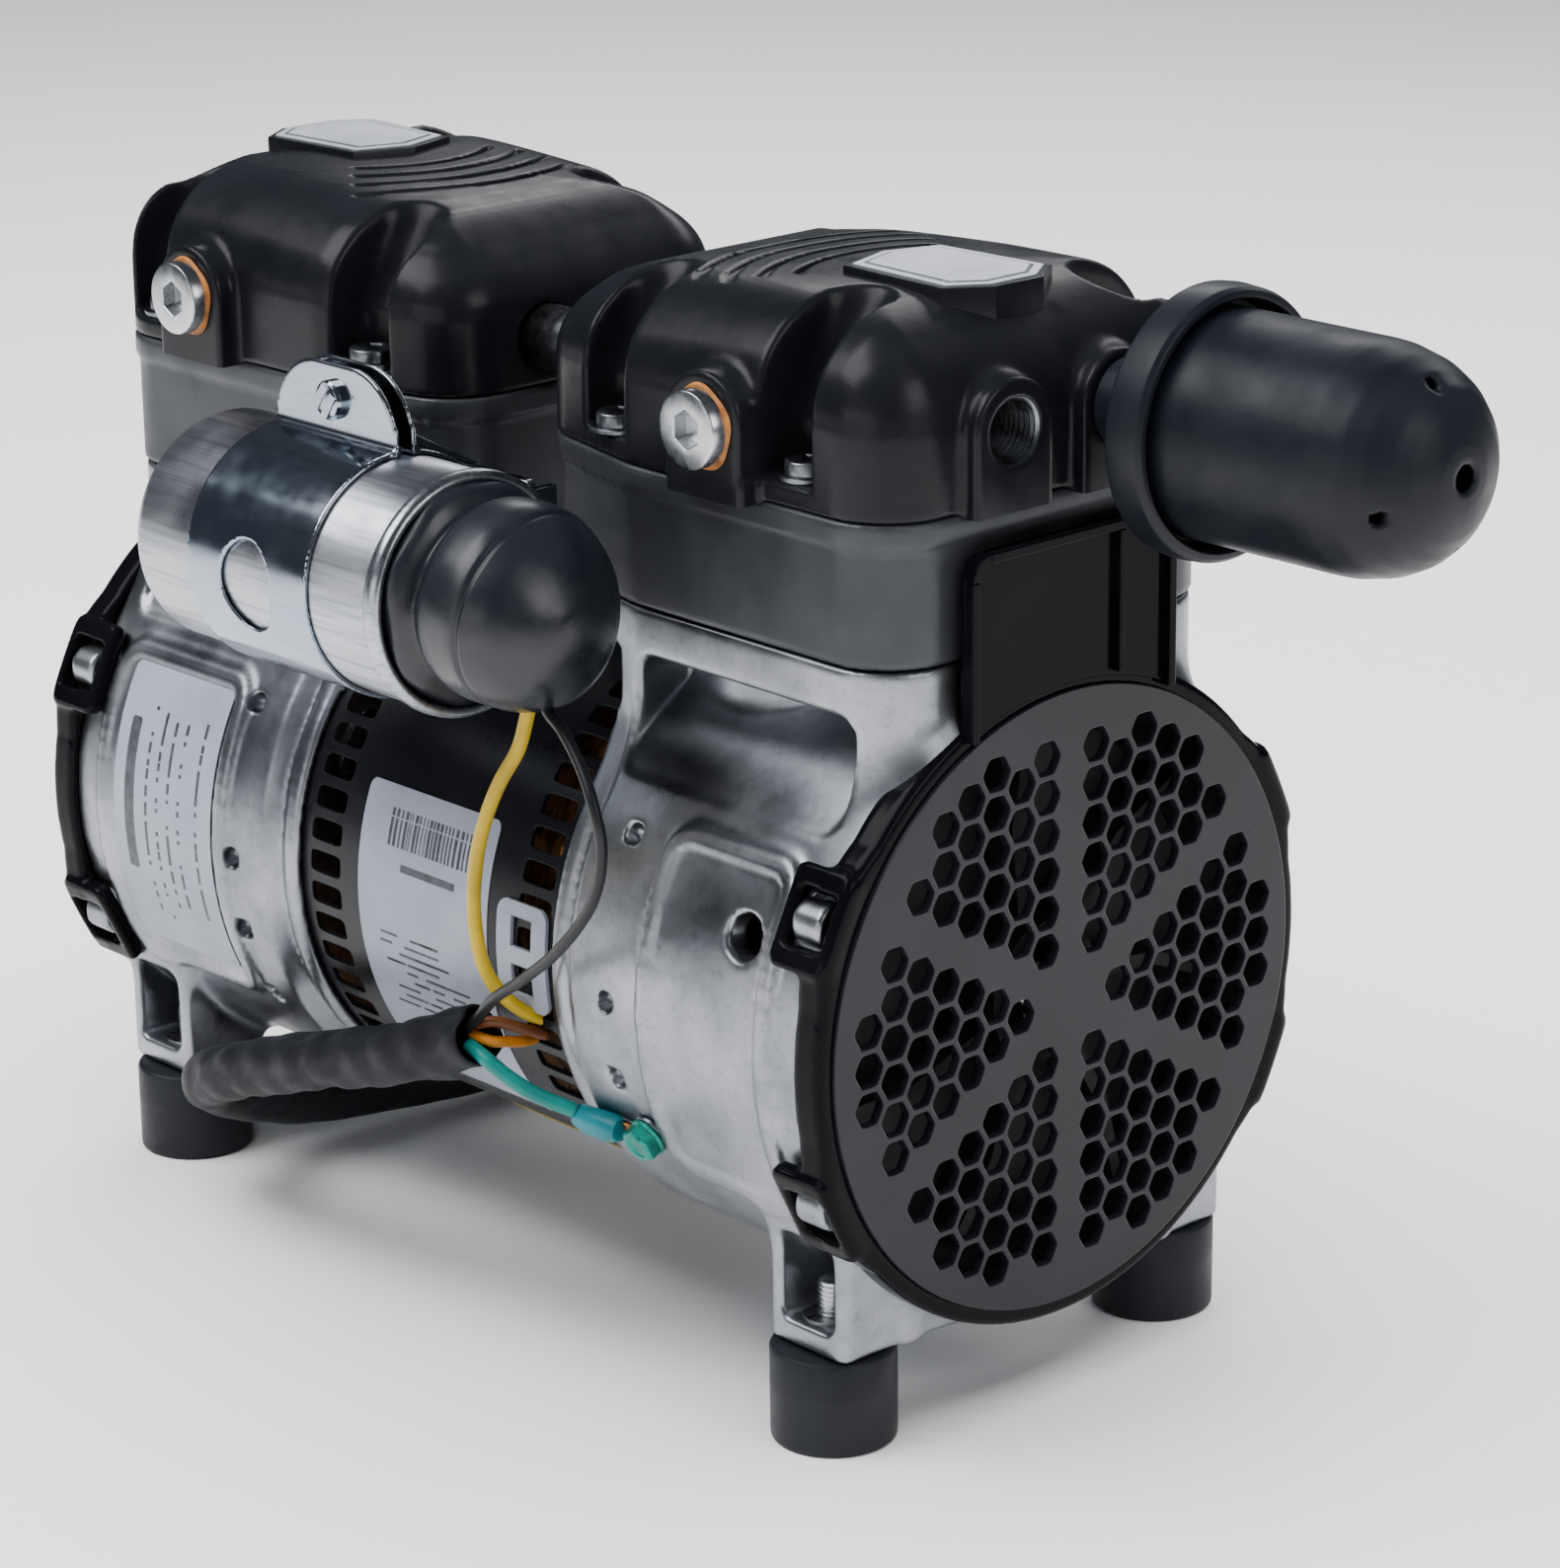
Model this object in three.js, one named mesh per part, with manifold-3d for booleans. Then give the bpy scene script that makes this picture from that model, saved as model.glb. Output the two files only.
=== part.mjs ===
// Twin-cylinder oil-less rocking-piston air pump with a double-ended motor.
// Millimetres, +Z up, X along the motor shaft. The front end is +X and the capacitor is on the -Y side.
import * as THREE from 'three';
import { mergeVertices } from 'three/addons/utils/BufferGeometryUtils.js';
import Module from 'manifold-3d';

const wasm = await Module();
wasm.setup();

// ---------------------------------------------------------------- driving dimensions
const GAP = 0.3;                 // clearance kept between neighbouring solids
const SHAFT_Z = 86;              // shaft height above the floor
const END_X = 127.8;             // outer face of each fan cover
const CYLINDER_X = 69.5;         // cylinder axis, each side of the middle
const FOOT_X = 107.8;
const FOOT_Y = 46.7;
const FOOT_RADIUS = 12.9;
const FOOT_HEIGHT = 20.2;
const LEG_BOTTOM = 20.5;

const DRUM_RADIUS = 66;          // crankcase drum
const DRUM_START = 42.3;         // inner edge of the drum
const DRUM_END = 125.2;
const FLANGE_RADIUS = 63.4;
const DECK_Z = 161;              // top of the crankcase, where the block stands
const HEAD_Z = 190.6;            // joint between block and head cover
const SHELL_RADIUS = 61.5;       // motor shell
const SHELL_HALF = 50.2;
const SHELL_SIDES = 24;          // facets round the shell
const SHELL_SLOTS = 12;          // vent slots round each end; each stands for three of the real ones

const THROW = 5.2;               // eccentric throw
const BORE_RADIUS = 30.1;
const LINER_RADIUS = 32.2;
const ROD_LENGTH = 96;           // crank pin centre to piston top
const SHAFT_RADIUS = 8;
const PIN_RADIUS = 15;

const HEX_PITCH = 16;            // grille cell spacing; each cell stands for four holes of the real grille
const HEX_FLATS = 13.6;
const GRILLE_REACH = 52;         // farthest cell centre from the shaft

const MUFFLER_Y = 12.7;
const MUFFLER_Z = 206.4;
const PORT_Y = -16.7;
const PORT_Z = 205.5;
const CAN_Y = -76;
const CAN_Z = 166.8;
const CAN_RADIUS = 24.2;
const CAN_START = -43.5;
const CAN_END = 36.5;

const pump = new THREE.Group();

// ---------------------------------------------------------------- materials
const finish = (color, roughness, metalness) => new THREE.MeshStandardMaterial({ color, roughness, metalness });
const castAluminium = finish(0x9a9da3, 0.45, 0.9);
const darkAluminium = finish(0x3c3f43, 0.4, 0.7);
const glossBlack = finish(0x0d0e11, 0.25, 0.1);
const mouldedBlack = finish(0x24272d, 0.5, 0.0);
const rubber = finish(0x1c1f25, 0.75, 0.0);
const steel = finish(0xb4b6b8, 0.3, 1.0);
const zinc = finish(0xb9c4cc, 0.25, 1.0);
const canAluminium = finish(0xaeb2b6, 0.35, 1.0);
const copper = finish(0x9c5a2c, 0.45, 0.9);
const cupPolymer = finish(0x3a2f26, 0.6, 0.0);

// ---------------------------------------------------------------- geometry helpers
const shared = (geometry) => {
  const plain = geometry.clone();
  plain.deleteAttribute('normal');
  plain.deleteAttribute('uv');
  return mergeVertices(plain, 1e-4);
};

const signedVolume = (geometry) => {
  const p = geometry.getAttribute('position');
  const [a, b, c] = [new THREE.Vector3(), new THREE.Vector3(), new THREE.Vector3()];
  let sum = 0;
  for (let i = 0; i < geometry.index.count; i += 3) {
    a.fromBufferAttribute(p, geometry.index.getX(i));
    b.fromBufferAttribute(p, geometry.index.getX(i + 1));
    c.fromBufferAttribute(p, geometry.index.getX(i + 2));
    sum += a.dot(b.cross(c)) / 6;
  }
  return sum;
};

// Merges shared vertices and turns the faces outwards.
const closed = (geometry) => {
  const merged = shared(geometry);
  if (signedVolume(merged) < 0) merged.index.array.reverse();
  return merged;
};

const toManifold = (geometry) => {
  const merged = closed(geometry);
  return new wasm.Manifold(new wasm.Mesh({
    numProp: 3,
    vertProperties: new Float32Array(merged.getAttribute('position').array),
    triVerts: new Uint32Array(merged.index.array),
  }));
};

const fromManifold = (solid) => {
  const mesh = solid.getMesh();
  const geometry = new THREE.BufferGeometry();
  geometry.setAttribute('position', new THREE.BufferAttribute(new Float32Array(mesh.vertProperties), 3));
  geometry.setIndex(new THREE.BufferAttribute(new Uint32Array(mesh.triVerts), 1));
  return geometry;
};

const join = (...parts) => fromManifold(parts.map(toManifold).reduce((a, b) => a.add(b)));
const cut = (base, ...tools) => fromManifold(
  tools.map(toManifold).reduce((a, b) => a.subtract(b), toManifold(base)));
const common = (a, b) => fromManifold(toManifold(a).intersect(toManifold(b)));

const box = (x0, x1, y0, y1, z0, z1) => new THREE.BoxGeometry(x1 - x0, y1 - y0, z1 - z0)
  .translate((x0 + x1) / 2, (y0 + y1) / 2, (z0 + z1) / 2);

// A profile of [radius, x] pairs turned about the X axis.
const turnedX = (profile, segments = 40) => closed(
  new THREE.LatheGeometry(profile.map(([r, x]) => new THREE.Vector2(r, x)), segments).rotateZ(-Math.PI / 2));
// A profile of [radius, z] pairs turned about the Z axis.
const turnedZ = (profile, segments = 28) => closed(
  new THREE.LatheGeometry(profile.map(([r, z]) => new THREE.Vector2(r, z)), segments).rotateX(Math.PI / 2));

const rodX = (radius, x0, x1, segments = 28) => turnedX(
  [[0, x0], [radius, x0], [radius, x1], [0, x1]], segments);
const rodZ = (radius, z0, z1, segments = 28) => turnedZ(
  [[0, z0], [radius, z0], [radius, z1], [0, z1]], segments);
const rodY = (radius, y0, y1, segments = 16) => rodX(radius, y0, y1, segments).rotateZ(Math.PI / 2);
const pipeX = (inner, outer, x0, x1, segments = 32) => turnedX(
  [[inner, x0], [outer, x0], [outer, x1], [inner, x1], [inner, x0]], segments);
const pipeZ = (inner, outer, z0, z1, segments = 32) => turnedZ(
  [[inner, z0], [outer, z0], [outer, z1], [inner, z1], [inner, z0]], segments);

const shapeOf = (points) => new THREE.Shape(points.map(([u, v]) => new THREE.Vector2(u, v)));
const prism = (shape, depth, curveSegments = 8) => new THREE.ExtrudeGeometry(
  shape, { depth, bevelEnabled: false, curveSegments });
// A (y, z) outline pushed from x0 to x1.
const prismX = (shape, x0, x1, curveSegments) => prism(shape, x1 - x0, curveSegments)
  .applyMatrix4(new THREE.Matrix4().makeBasis(
    new THREE.Vector3(0, 1, 0), new THREE.Vector3(0, 0, 1), new THREE.Vector3(1, 0, 0)))
  .translate(x0, 0, 0);
// An (x, z) outline pushed from y0 back to y1, with y1 below y0.
const prismY = (shape, y0, y1, curveSegments) => prism(shape, y0 - y1, curveSegments)
  .rotateX(Math.PI / 2).translate(0, y0, 0);
const prismZ = (shape, z0, z1, curveSegments) => prism(shape, z1 - z0, curveSegments).translate(0, 0, z0);

// An upright opening with an arched top, centred on (u, v).
const archShape = (u, v, halfWidth, bottom) => {
  const shape = new THREE.Shape();
  shape.moveTo(u - halfWidth, bottom);
  shape.lineTo(u + halfWidth, bottom);
  shape.lineTo(u + halfWidth, v);
  shape.absarc(u, v, halfWidth, 0, Math.PI, false);
  return shape;
};

const circleShape = (radius, u = 0, v = 0) => new THREE.Shape().absarc(u, v, radius, 0, 2 * Math.PI, false);

// A polygon with rounded corners; every corner gets the same number of points, so outlines can be lofted.
const roundedOutline = (corners, radii, steps = 2) => corners.flatMap((corner, i) => {
  const here = new THREE.Vector2(...corner);
  const back = new THREE.Vector2(...corners.at(i - 1)).sub(here).normalize();
  const ahead = new THREE.Vector2(...corners[(i + 1) % corners.length]).sub(here).normalize();
  const half = Math.acos(THREE.MathUtils.clamp(back.dot(ahead), -1, 1)) / 2;
  const reach = radii[i] / Math.tan(half);
  const inwards = back.clone().add(ahead).normalize();
  const centre = here.clone().addScaledVector(inwards, radii[i] / Math.sin(half));
  const start = here.clone().addScaledVector(back, reach).sub(centre);
  const end = here.clone().addScaledVector(ahead, reach).sub(centre);
  const turn = Math.atan2(start.cross(end), start.dot(end));
  return Array.from({ length: steps + 1 }, (_, k) => {
    const p = start.clone().rotateAround(new THREE.Vector2(), (turn * k) / steps).add(centre);
    return [p.x, p.y];
  });
});

// Stacks [outline, z] levels that have equally many points into one closed solid with flat ends.
const loft = (levels) => {
  const count = levels[0][0].length;
  const positions = levels.flatMap(([outline, z]) => outline.flatMap(([x, y]) => [x, y, z]));
  const triangles = [];
  for (let level = 0; level < levels.length - 1; level += 1) {
    for (let i = 0; i < count; i += 1) {
      const a = level * count + i;
      const b = level * count + ((i + 1) % count);
      triangles.push(a, b, b + count, a, b + count, a + count);
    }
  }
  const last = (levels.length - 1) * count;
  const cap = THREE.ShapeUtils.triangulateShape(levels[0][0].map(([x, y]) => new THREE.Vector2(x, y)), []);
  cap.forEach(([a, b, c]) => triangles.push(c, b, a, last + a, last + b, last + c));
  const geometry = new THREE.BufferGeometry();
  geometry.setAttribute('position', new THREE.Float32BufferAttribute(positions, 3));
  geometry.setIndex(triangles);
  return closed(geometry);
};

const tubeAlong = (points, radius, sides = 8, steps = 24) => {
  const section = shapeOf(Array.from({ length: sides }, (_, i) => {
    const angle = (2 * Math.PI * i) / sides;
    return [radius * Math.cos(angle), radius * Math.sin(angle)];
  }));
  const extrudePath = new THREE.CatmullRomCurve3(points.map((p) => new THREE.Vector3(...p)));
  return closed(new THREE.ExtrudeGeometry(section, { steps, bevelEnabled: false, extrudePath }));
};

const add = (name, geometry, material) => {
  const mesh = new THREE.Mesh(closed(geometry), material);
  mesh.name = name;
  pump.add(mesh);
  return mesh;
};

// Both ends of the pump are the same castings, one turned half round about Z.
const bothEnds = (name, geometry, material) => {
  add(`front_${name}`, geometry, material);
  add(`rear_${name}`, geometry.clone().rotateZ(Math.PI), material);
};

// ---------------------------------------------------------------- outline of deck, block and head cover
const headOutline = (inset) => {
  const corners = [[124.7 - inset, -47.5 + inset], [124.7 - inset, 47.5 - inset], [50, 46.5 - inset],
    [13 + inset, 38 - inset], [13 + inset, -38 + inset], [50, -46.5 + inset]];
  const radii = [16, 16, 30, 14, 14, 30].map((r) => Math.max(r - inset, 3));
  return roundedOutline(corners, radii);
};

// ---------------------------------------------------------------- crankcases
const CLIP_ANGLES = [26, 154, 206, 334];
const NECK_WINDOW = { x0: 51.5, x1: 113.5, z0: 134.5, z1: 151.3 };
const NECK_START = 44;           // the neck stands on the drum from here; the deck reaches further in
const DECK_BOTTOM = 151.3;
const CHAMBER_START = 60;        // crank chamber inside the drum
const CHAMBER_RADIUS = 61;
const PANEL_START = 73;          // raised panel on each side of the drum
const LEG = { x0: 97.6, x1: 119.8, y0: 33.4, y1: 55.1 };
const GROUND = { x: 68.5, angle: 206, shank: 2 };   // earth screw on the drum

// Turns a piece built over the top of the drum, at local z = radius, round the shaft to an angle.
const aroundDrum = (geometry, degrees) => geometry
  .rotateX(THREE.MathUtils.degToRad(degrees - 90)).translate(0, 0, SHAFT_Z);
const onShaft = (geometry) => geometry.translate(0, 0, SHAFT_Z);
// The same piece on the -Y side and on the +Y side.
const bothSides = (make) => [make(), closed(make().scale(1, -1, 1))];

const neckOfCase = () => {
  const { x0, x1, z0, z1 } = NECK_WINDOW;
  const outline = loft([[headOutline(1), SHAFT_Z], [headOutline(1), DECK_Z]]);
  const kept = join(box(NECK_START, 130, -60, 60, SHAFT_Z, DECK_Z), box(0, 130, -60, 60, DECK_BOTTOM, DECK_Z));
  return cut(common(outline, kept), ...bothSides(() => box(x0, x1, -60, -18, z0, z1)));
};

const legsOfCase = () => {
  const { x0, x1, y0, y1 } = LEG;
  const web = box(x1 - 5.8, x1, -y0 - 5, y0 + 5, LEG_BOTTOM, 45);
  return [...bothSides(() => box(x0, x1, -y1, -y0, LEG_BOTTOM, 66)), web];
};

// The pockets stop at the drum, which stays closed.
const legHollows = () => [
  ...bothSides(() => cut(box(LEG.x0 + 3.8, LEG.x1 - 3.4, -LEG.y1 - 5, -LEG.y0 - 4.5, LEG_BOTTOM + 5.5, 45),
    onShaft(rodX(DRUM_RADIUS, 90, 130, 36)))),
  ...bothSides(() => rodZ(3.6, 15, 30, 10).translate(FOOT_X, -FOOT_Y, 0))];

const crankcase = () => {
  const drum = onShaft(turnedX([[0, DRUM_START], [FLANGE_RADIUS, DRUM_START], [FLANGE_RADIUS, 47.5],
    [DRUM_RADIUS, 51.5], [DRUM_RADIUS, DRUM_END], [0, DRUM_END]], 36));
  const barrel = common(rodZ(LINER_RADIUS + 3.4, 125, DECK_Z - 5, 24).translate(CYLINDER_X, 0, 0),
    join(box(51, 130, -60, 60, 120, DECK_Z), box(0, 130, -60, 60, DECK_BOTTOM, DECK_Z)));
  const panelRing = onShaft(pipeX(62, DRUM_RADIUS + 1.6, PANEL_START, 111, 36));
  const panels = common(panelRing, join(...bothSides(() => box(60, 120, -80, -38, 50, 124))));
  const lugs = CLIP_ANGLES.map((angle) => aroundDrum(
    box(114.5, 119.5, -3.2, 3.2, DRUM_RADIUS - 4, DRUM_RADIUS + 3), angle));

  const chamber = onShaft(rodX(CHAMBER_RADIUS, CHAMBER_START, DRUM_END + 5, 28));
  const register = onShaft(rodX(SHELL_RADIUS + GAP, DRUM_START - 5, SHELL_HALF + GAP, SHELL_SIDES)
    .rotateX(Math.PI / SHELL_SIDES));
  const bearingSeat = onShaft(rodX(17.4, 45, 65, 16));
  const airHoles = [30, 90, 150, 210, 270, 330].map((angle) => aroundDrum(
    rodX(9, 45, 65, 6).translate(0, 0, 40), angle));
  const bore = rodZ(LINER_RADIUS + GAP, 120, DECK_Z + 5, 24).translate(CYLINDER_X, 0, 0);
  const linerBore = common(bore,
    join(box(CHAMBER_START, 130, -60, 60, 110, 170), box(0, 130, -60, 60, 148, 170)));
  const sideHole = rodY(4.5, -80, -50, 10).translate(100.7, 0, 108);
  const groundHole = aroundDrum(rodZ(GROUND.shank + GAP, 55, 75, 12).translate(GROUND.x, 0, 0), GROUND.angle);
  return cut(join(drum, neckOfCase(), barrel, panels, ...legsOfCase(), ...lugs),
    chamber, register, bearingSeat, ...airHoles, linerBore, ...legHollows(), sideHole, groundHole);
};
bothEnds('crankcase', crankcase(), castAluminium);

// ---------------------------------------------------------------- motor
const motorShell = () => {
  const tube = pipeX(SHELL_RADIUS - 1.2, SHELL_RADIUS, -SHELL_HALF, SHELL_HALF, SHELL_SIDES)
    .rotateX(Math.PI / SHELL_SIDES);
  const slots = [-33, 33].flatMap((x) => Array.from({ length: SHELL_SLOTS }, (_, i) => box(
    x - 5, x + 5, -6, 6, SHELL_RADIUS - 4, SHELL_RADIUS + 4).rotateX((2 * Math.PI * (i + 0.5)) / SHELL_SLOTS)));
  return onShaft(cut(tube, ...slots));
};
add('motor_shell', motorShell(), glossBlack);
add('stator_core', onShaft(pipeX(32.8, SHELL_RADIUS - 2.3, -22, 22, 24)), steel);
bothEnds('winding', turnedX([[37, 22.5], [55, 22.5], [55, 32], [48, 39], [37, 36], [37, 22.5]], 16)
  .translate(0, 0, SHAFT_Z), copper);
add('motor_shaft', turnedX([[0, -123], [SHAFT_RADIUS - 1, -123], [SHAFT_RADIUS, -122], [SHAFT_RADIUS, 122],
  [SHAFT_RADIUS - 1, 123], [0, 123]], 16).translate(0, 0, SHAFT_Z), steel);
add('rotor', pipeX(SHAFT_RADIUS + GAP, 32.3, -24, 24, 20).translate(0, 0, SHAFT_Z), steel);
bothEnds('main_bearing', pipeX(SHAFT_RADIUS + GAP, 17, 51, 59.6, 16).translate(0, 0, SHAFT_Z), steel);

// ---------------------------------------------------------------- crank, rods and pistons
// The front crank pin is at the top of its turn and the rear one at the bottom.
const eccentric = (lift) => {
  const pin = rodX(PIN_RADIUS, 64.6, 74.4, 20).translate(0, 0, lift);
  const hubs = [rodX(12.5, 60.2, 64.7, 16), rodX(12.5, 74.3, 86, 16)];
  const weight = common(rodX(25, 77, 85, 20), box(70, 90, -30, 30, lift > 0 ? -30 : 5, lift > 0 ? -5 : 30));
  return onShaft(cut(join(pin, ...hubs, weight), rodX(SHAFT_RADIUS + GAP, 50, 95, 16)));
};
add('front_eccentric', eccentric(THROW), steel);
add('rear_eccentric', eccentric(-THROW).rotateZ(Math.PI), steel);

const PISTON_RADIUS = 21.8;
const connectingRod = () => {
  const bigEnd = rodX(PIN_RADIUS + 7, 65, 74, 20);
  const stem = box(65.5, 73.5, -8, 8, 16, ROD_LENGTH - 6);
  const crown = turnedZ([[0, ROD_LENGTH - 12], [8, ROD_LENGTH - 12], [PISTON_RADIUS, ROD_LENGTH - 7],
    [PISTON_RADIUS, ROD_LENGTH], [0, ROD_LENGTH]], 20).translate(CYLINDER_X, 0, 0);
  return cut(join(bigEnd, stem, crown), rodX(PIN_RADIUS + GAP, 60, 80, 20));
};
const pistonCup = () => pipeZ(PISTON_RADIUS + GAP, 24.5, ROD_LENGTH - 6.5, ROD_LENGTH - 0.5, 20)
  .translate(CYLINDER_X, 0, 0);
for (const [end, lift, turn] of [['front', THROW, 0], ['rear', -THROW, Math.PI]]) {
  add(`${end}_connecting_rod`, connectingRod().translate(0, 0, SHAFT_Z + lift).rotateZ(turn), castAluminium);
  add(`${end}_piston_cup`, pistonCup().translate(0, 0, SHAFT_Z + lift).rotateZ(turn), cupPolymer);
}

// ---------------------------------------------------------------- fans
const fan = () => {
  const hub = rodX(15, 106, 121, 14);
  const plate = turnedX([[0, 106], [54, 106], [54, 107.5], [0, 107.5]], 20);
  const blades = Array.from({ length: 7 }, (_, i) => prism(shapeOf(
    [[13, -1.5], [36, -4.5], [53, -12], [54, -9.5], [36, -1.5], [13, 1.5]]), 11)
    .applyMatrix4(new THREE.Matrix4().makeBasis(
      new THREE.Vector3(0, 1, 0), new THREE.Vector3(0, 0, 1), new THREE.Vector3(1, 0, 0)))
    .rotateX((2 * Math.PI * i) / 7).translate(107, 0, 0));
  return cut(join(hub, plate, ...blades), rodX(SHAFT_RADIUS + GAP, 100, 125, 14)).translate(0, 0, SHAFT_Z);
};
bothEnds('fan', fan(), mouldedBlack);

// ---------------------------------------------------------------- fan covers
const hexagonShape = (u, v, flats) => {
  const corner = flats / Math.sqrt(3);
  const path = new THREE.Shape();
  for (let i = 0; i < 6; i += 1) {
    const angle = (Math.PI * i) / 3;
    const [x, y] = [u + corner * Math.cos(angle), v + corner * Math.sin(angle)];
    if (i === 0) path.moveTo(x, y);
    else path.lineTo(x, y);
  }
  return path.closePath();
};

// Six sectors of holes on a triangular lattice, left whole along the three webs through the middle.
const grilleHoles = () => {
  const holes = [];
  const onWeb = (column, row) => column === 0 || Math.abs(Math.abs(row) * 2 - Math.abs(column)) < 0.01;
  for (let column = -4; column <= 4; column += 1) {
    for (let half = -8; half <= 8; half += 1) {
      if ((half + column) % 2 !== 0) continue;
      const row = half / 2;
      const [u, v] = [column * HEX_PITCH * Math.sqrt(3) / 2, row * HEX_PITCH];
      if (Math.hypot(u, v) > GRILLE_REACH || onWeb(column, row)) continue;
      holes.push(hexagonShape(u, v, HEX_FLATS));
    }
  }
  return holes;
};

const fanCover = () => {
  const face = circleShape(64.8);
  face.holes.push(...grilleHoles());
  const disc = prismX(face, 125.6, END_X, 12);
  const rim = turnedX([[60, 125.6], [67, 125.6], [67, 126.6], [65.6, 127.6], [62, 127.6], [60, 125.6]], 28);
  const clips = CLIP_ANGLES.map((angle) => {
    const arm = box(111.5, 127, -9.5, 9.5, DRUM_RADIUS + 0.4, DRUM_RADIUS + 3.4);
    const window = box(113.4, 121, -4.6, 4.6, DRUM_RADIUS - 5, DRUM_RADIUS + 8);
    return cut(arm, window).rotateX(THREE.MathUtils.degToRad(angle - 90));
  });
  const duct = join(
    box(125.5, 127.4, -29.5, 28, 55, 97),
    box(125.5, 129.4, -29.5, -27.5, 55, 97),
    box(125.5, 129.4, 26, 28, 55, 97),
    box(125.5, 129.4, -29.5, 28, 95, 97),
    box(125.5, 129.4, 12, 13.5, 55, 97));
  return join(disc, rim, ...clips, cut(duct, rodX(60, 120, 132, 28))).translate(0, 0, SHAFT_Z);
};
bothEnds('fan_cover', fanCover(), glossBlack);

// ---------------------------------------------------------------- cylinder liners, blocks and valves
bothEnds('cylinder_liner', pipeZ(BORE_RADIUS, LINER_RADIUS, DECK_BOTTOM + 0.5, HEAD_Z - 1.2, 24)
  .translate(CYLINDER_X, 0, 0), steel);
bothEnds('cylinder_block', cut(loft([[headOutline(0.6), DECK_Z + GAP], [headOutline(0.6), HEAD_Z - GAP]]),
  rodZ(LINER_RADIUS + GAP, 150, 200, 24).translate(CYLINDER_X, 0, 0)), darkAluminium);

// The intake valve is on the +Y side of the plate and the delivery valve on the -Y side, at both ends.
const VALVE_Y = 11;
const valvePlate = () => cut(rodZ(33.4, HEAD_Z, HEAD_Z + 3, 20).translate(CYLINDER_X, 0, 0),
  ...bothSides(() => rodZ(3, HEAD_Z - 5, HEAD_Z + 8, 10).translate(CYLINDER_X, -VALVE_Y, 0)));
bothEnds('valve_plate', valvePlate(), steel);

const REED = { root: CYLINDER_X - 10, tip: CYLINDER_X + 6, halfWidth: 4, thickness: 0.4 };
const reed = (y, z) => {
  const { root, tip, halfWidth, thickness } = REED;
  const shape = new THREE.Shape();
  shape.moveTo(root, y - halfWidth);
  shape.absarc(tip, y, halfWidth, -Math.PI / 2, Math.PI / 2, false);
  shape.lineTo(root, y + halfWidth);
  return prismZ(shape, z, z + thickness, 6);
};
for (const [end, mirror] of [['front', 1], ['rear', -1]]) {
  add(`${end}_inlet_reed`, reed(VALVE_Y, HEAD_Z - 0.7).scale(mirror, 1, 1), steel);
  add(`${end}_outlet_reed`, reed(-VALVE_Y, HEAD_Z + 3.3).scale(mirror, 1, 1), steel);
}

// ---------------------------------------------------------------- head covers
// Inset of the rounded shoulder at each height.
const SHOULDER = [[0, HEAD_Z], [0, 208], [1.2, 213], [4, 217.6], [7.5, 221], [14, 224.4], [26, 227.2]];
const SCREW_X = { right: [41.2, 96.3], left: [38.7, 110] };
const COVER_WALL = 4;
const SIDE_PORT = { rightX: 78.6, leftX: 87.7, z: 204 };
const TRANSFER = { y: 14, z: 201 };
const SLOT_HALF = 7.4;
const slotCutter = (x, grow) => {
  const profile = [[-60, 195 - grow], [-33 + grow, 195 - grow], [-33 + grow, 206], [-30 + grow, 215],
    [-22 + grow, 224], [-22 + grow, 240], [-60, 240]];
  return prismX(shapeOf(profile), x - SLOT_HALF - grow, x + SLOT_HALF + grow);
};
const slotCutters = (grow) => [...SCREW_X.right.map((x) => slotCutter(x, grow)),
  ...SCREW_X.left.map((x) => closed(slotCutter(x, grow).scale(1, -1, 1)))];

const sideBoss = (x) => archShape(x, SIDE_PORT.z, 11, HEAD_Z);
const endBoss = (y, z) => prismX(archShape(y, z, 10.5, HEAD_Z), 118, 128.6, 3);
const headBores = () => [
  rodY(5.4, -60, -44, 10).translate(SIDE_PORT.rightX, 0, SIDE_PORT.z),
  rodY(5.4, 44, 60, 10).translate(SIDE_PORT.leftX, 0, SIDE_PORT.z),
  rodX(6.6, 110, 140, 10).translate(0, PORT_Y, PORT_Z),
  rodX(6.6, 110, 140, 10).translate(0, MUFFLER_Y, MUFFLER_Z),
  ...bothSides(() => rodX(5, 5, 20, 10).translate(0, -TRANSFER.y, TRANSFER.z))];

const headCover = () => {
  const shell = loft(SHOULDER.map(([inset, z]) => [headOutline(inset), z]));
  const cavity = loft(SHOULDER.slice(0, 5).map(([inset, z], i) => [headOutline(inset + COVER_WALL),
    i === 0 ? z - 5 : z - COVER_WALL]));
  const divider = box(15, 122, -1.5, 1.5, HEAD_Z + 3.4, 222);
  const bosses = [prismY(sideBoss(SIDE_PORT.rightX), -40, -52, 3), prismY(sideBoss(SIDE_PORT.leftX), 52, 40, 3),
    endBoss(PORT_Y, PORT_Z), endBoss(MUFFLER_Y, MUFFLER_Z)];
  const badge = prismZ(shapeOf([[82, -13], [77, 0], [82, 13], [110, 15], [116, 6], [116, -6], [110, -15]]),
    220, 228.6);
  const chamber = cut(cavity, ...slotCutters(3), divider);
  return cut(join(shell, ...bosses, badge), chamber, ...slotCutters(0), ...headBores());
};
bothEnds('head_cover', headCover(), glossBlack);

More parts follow.
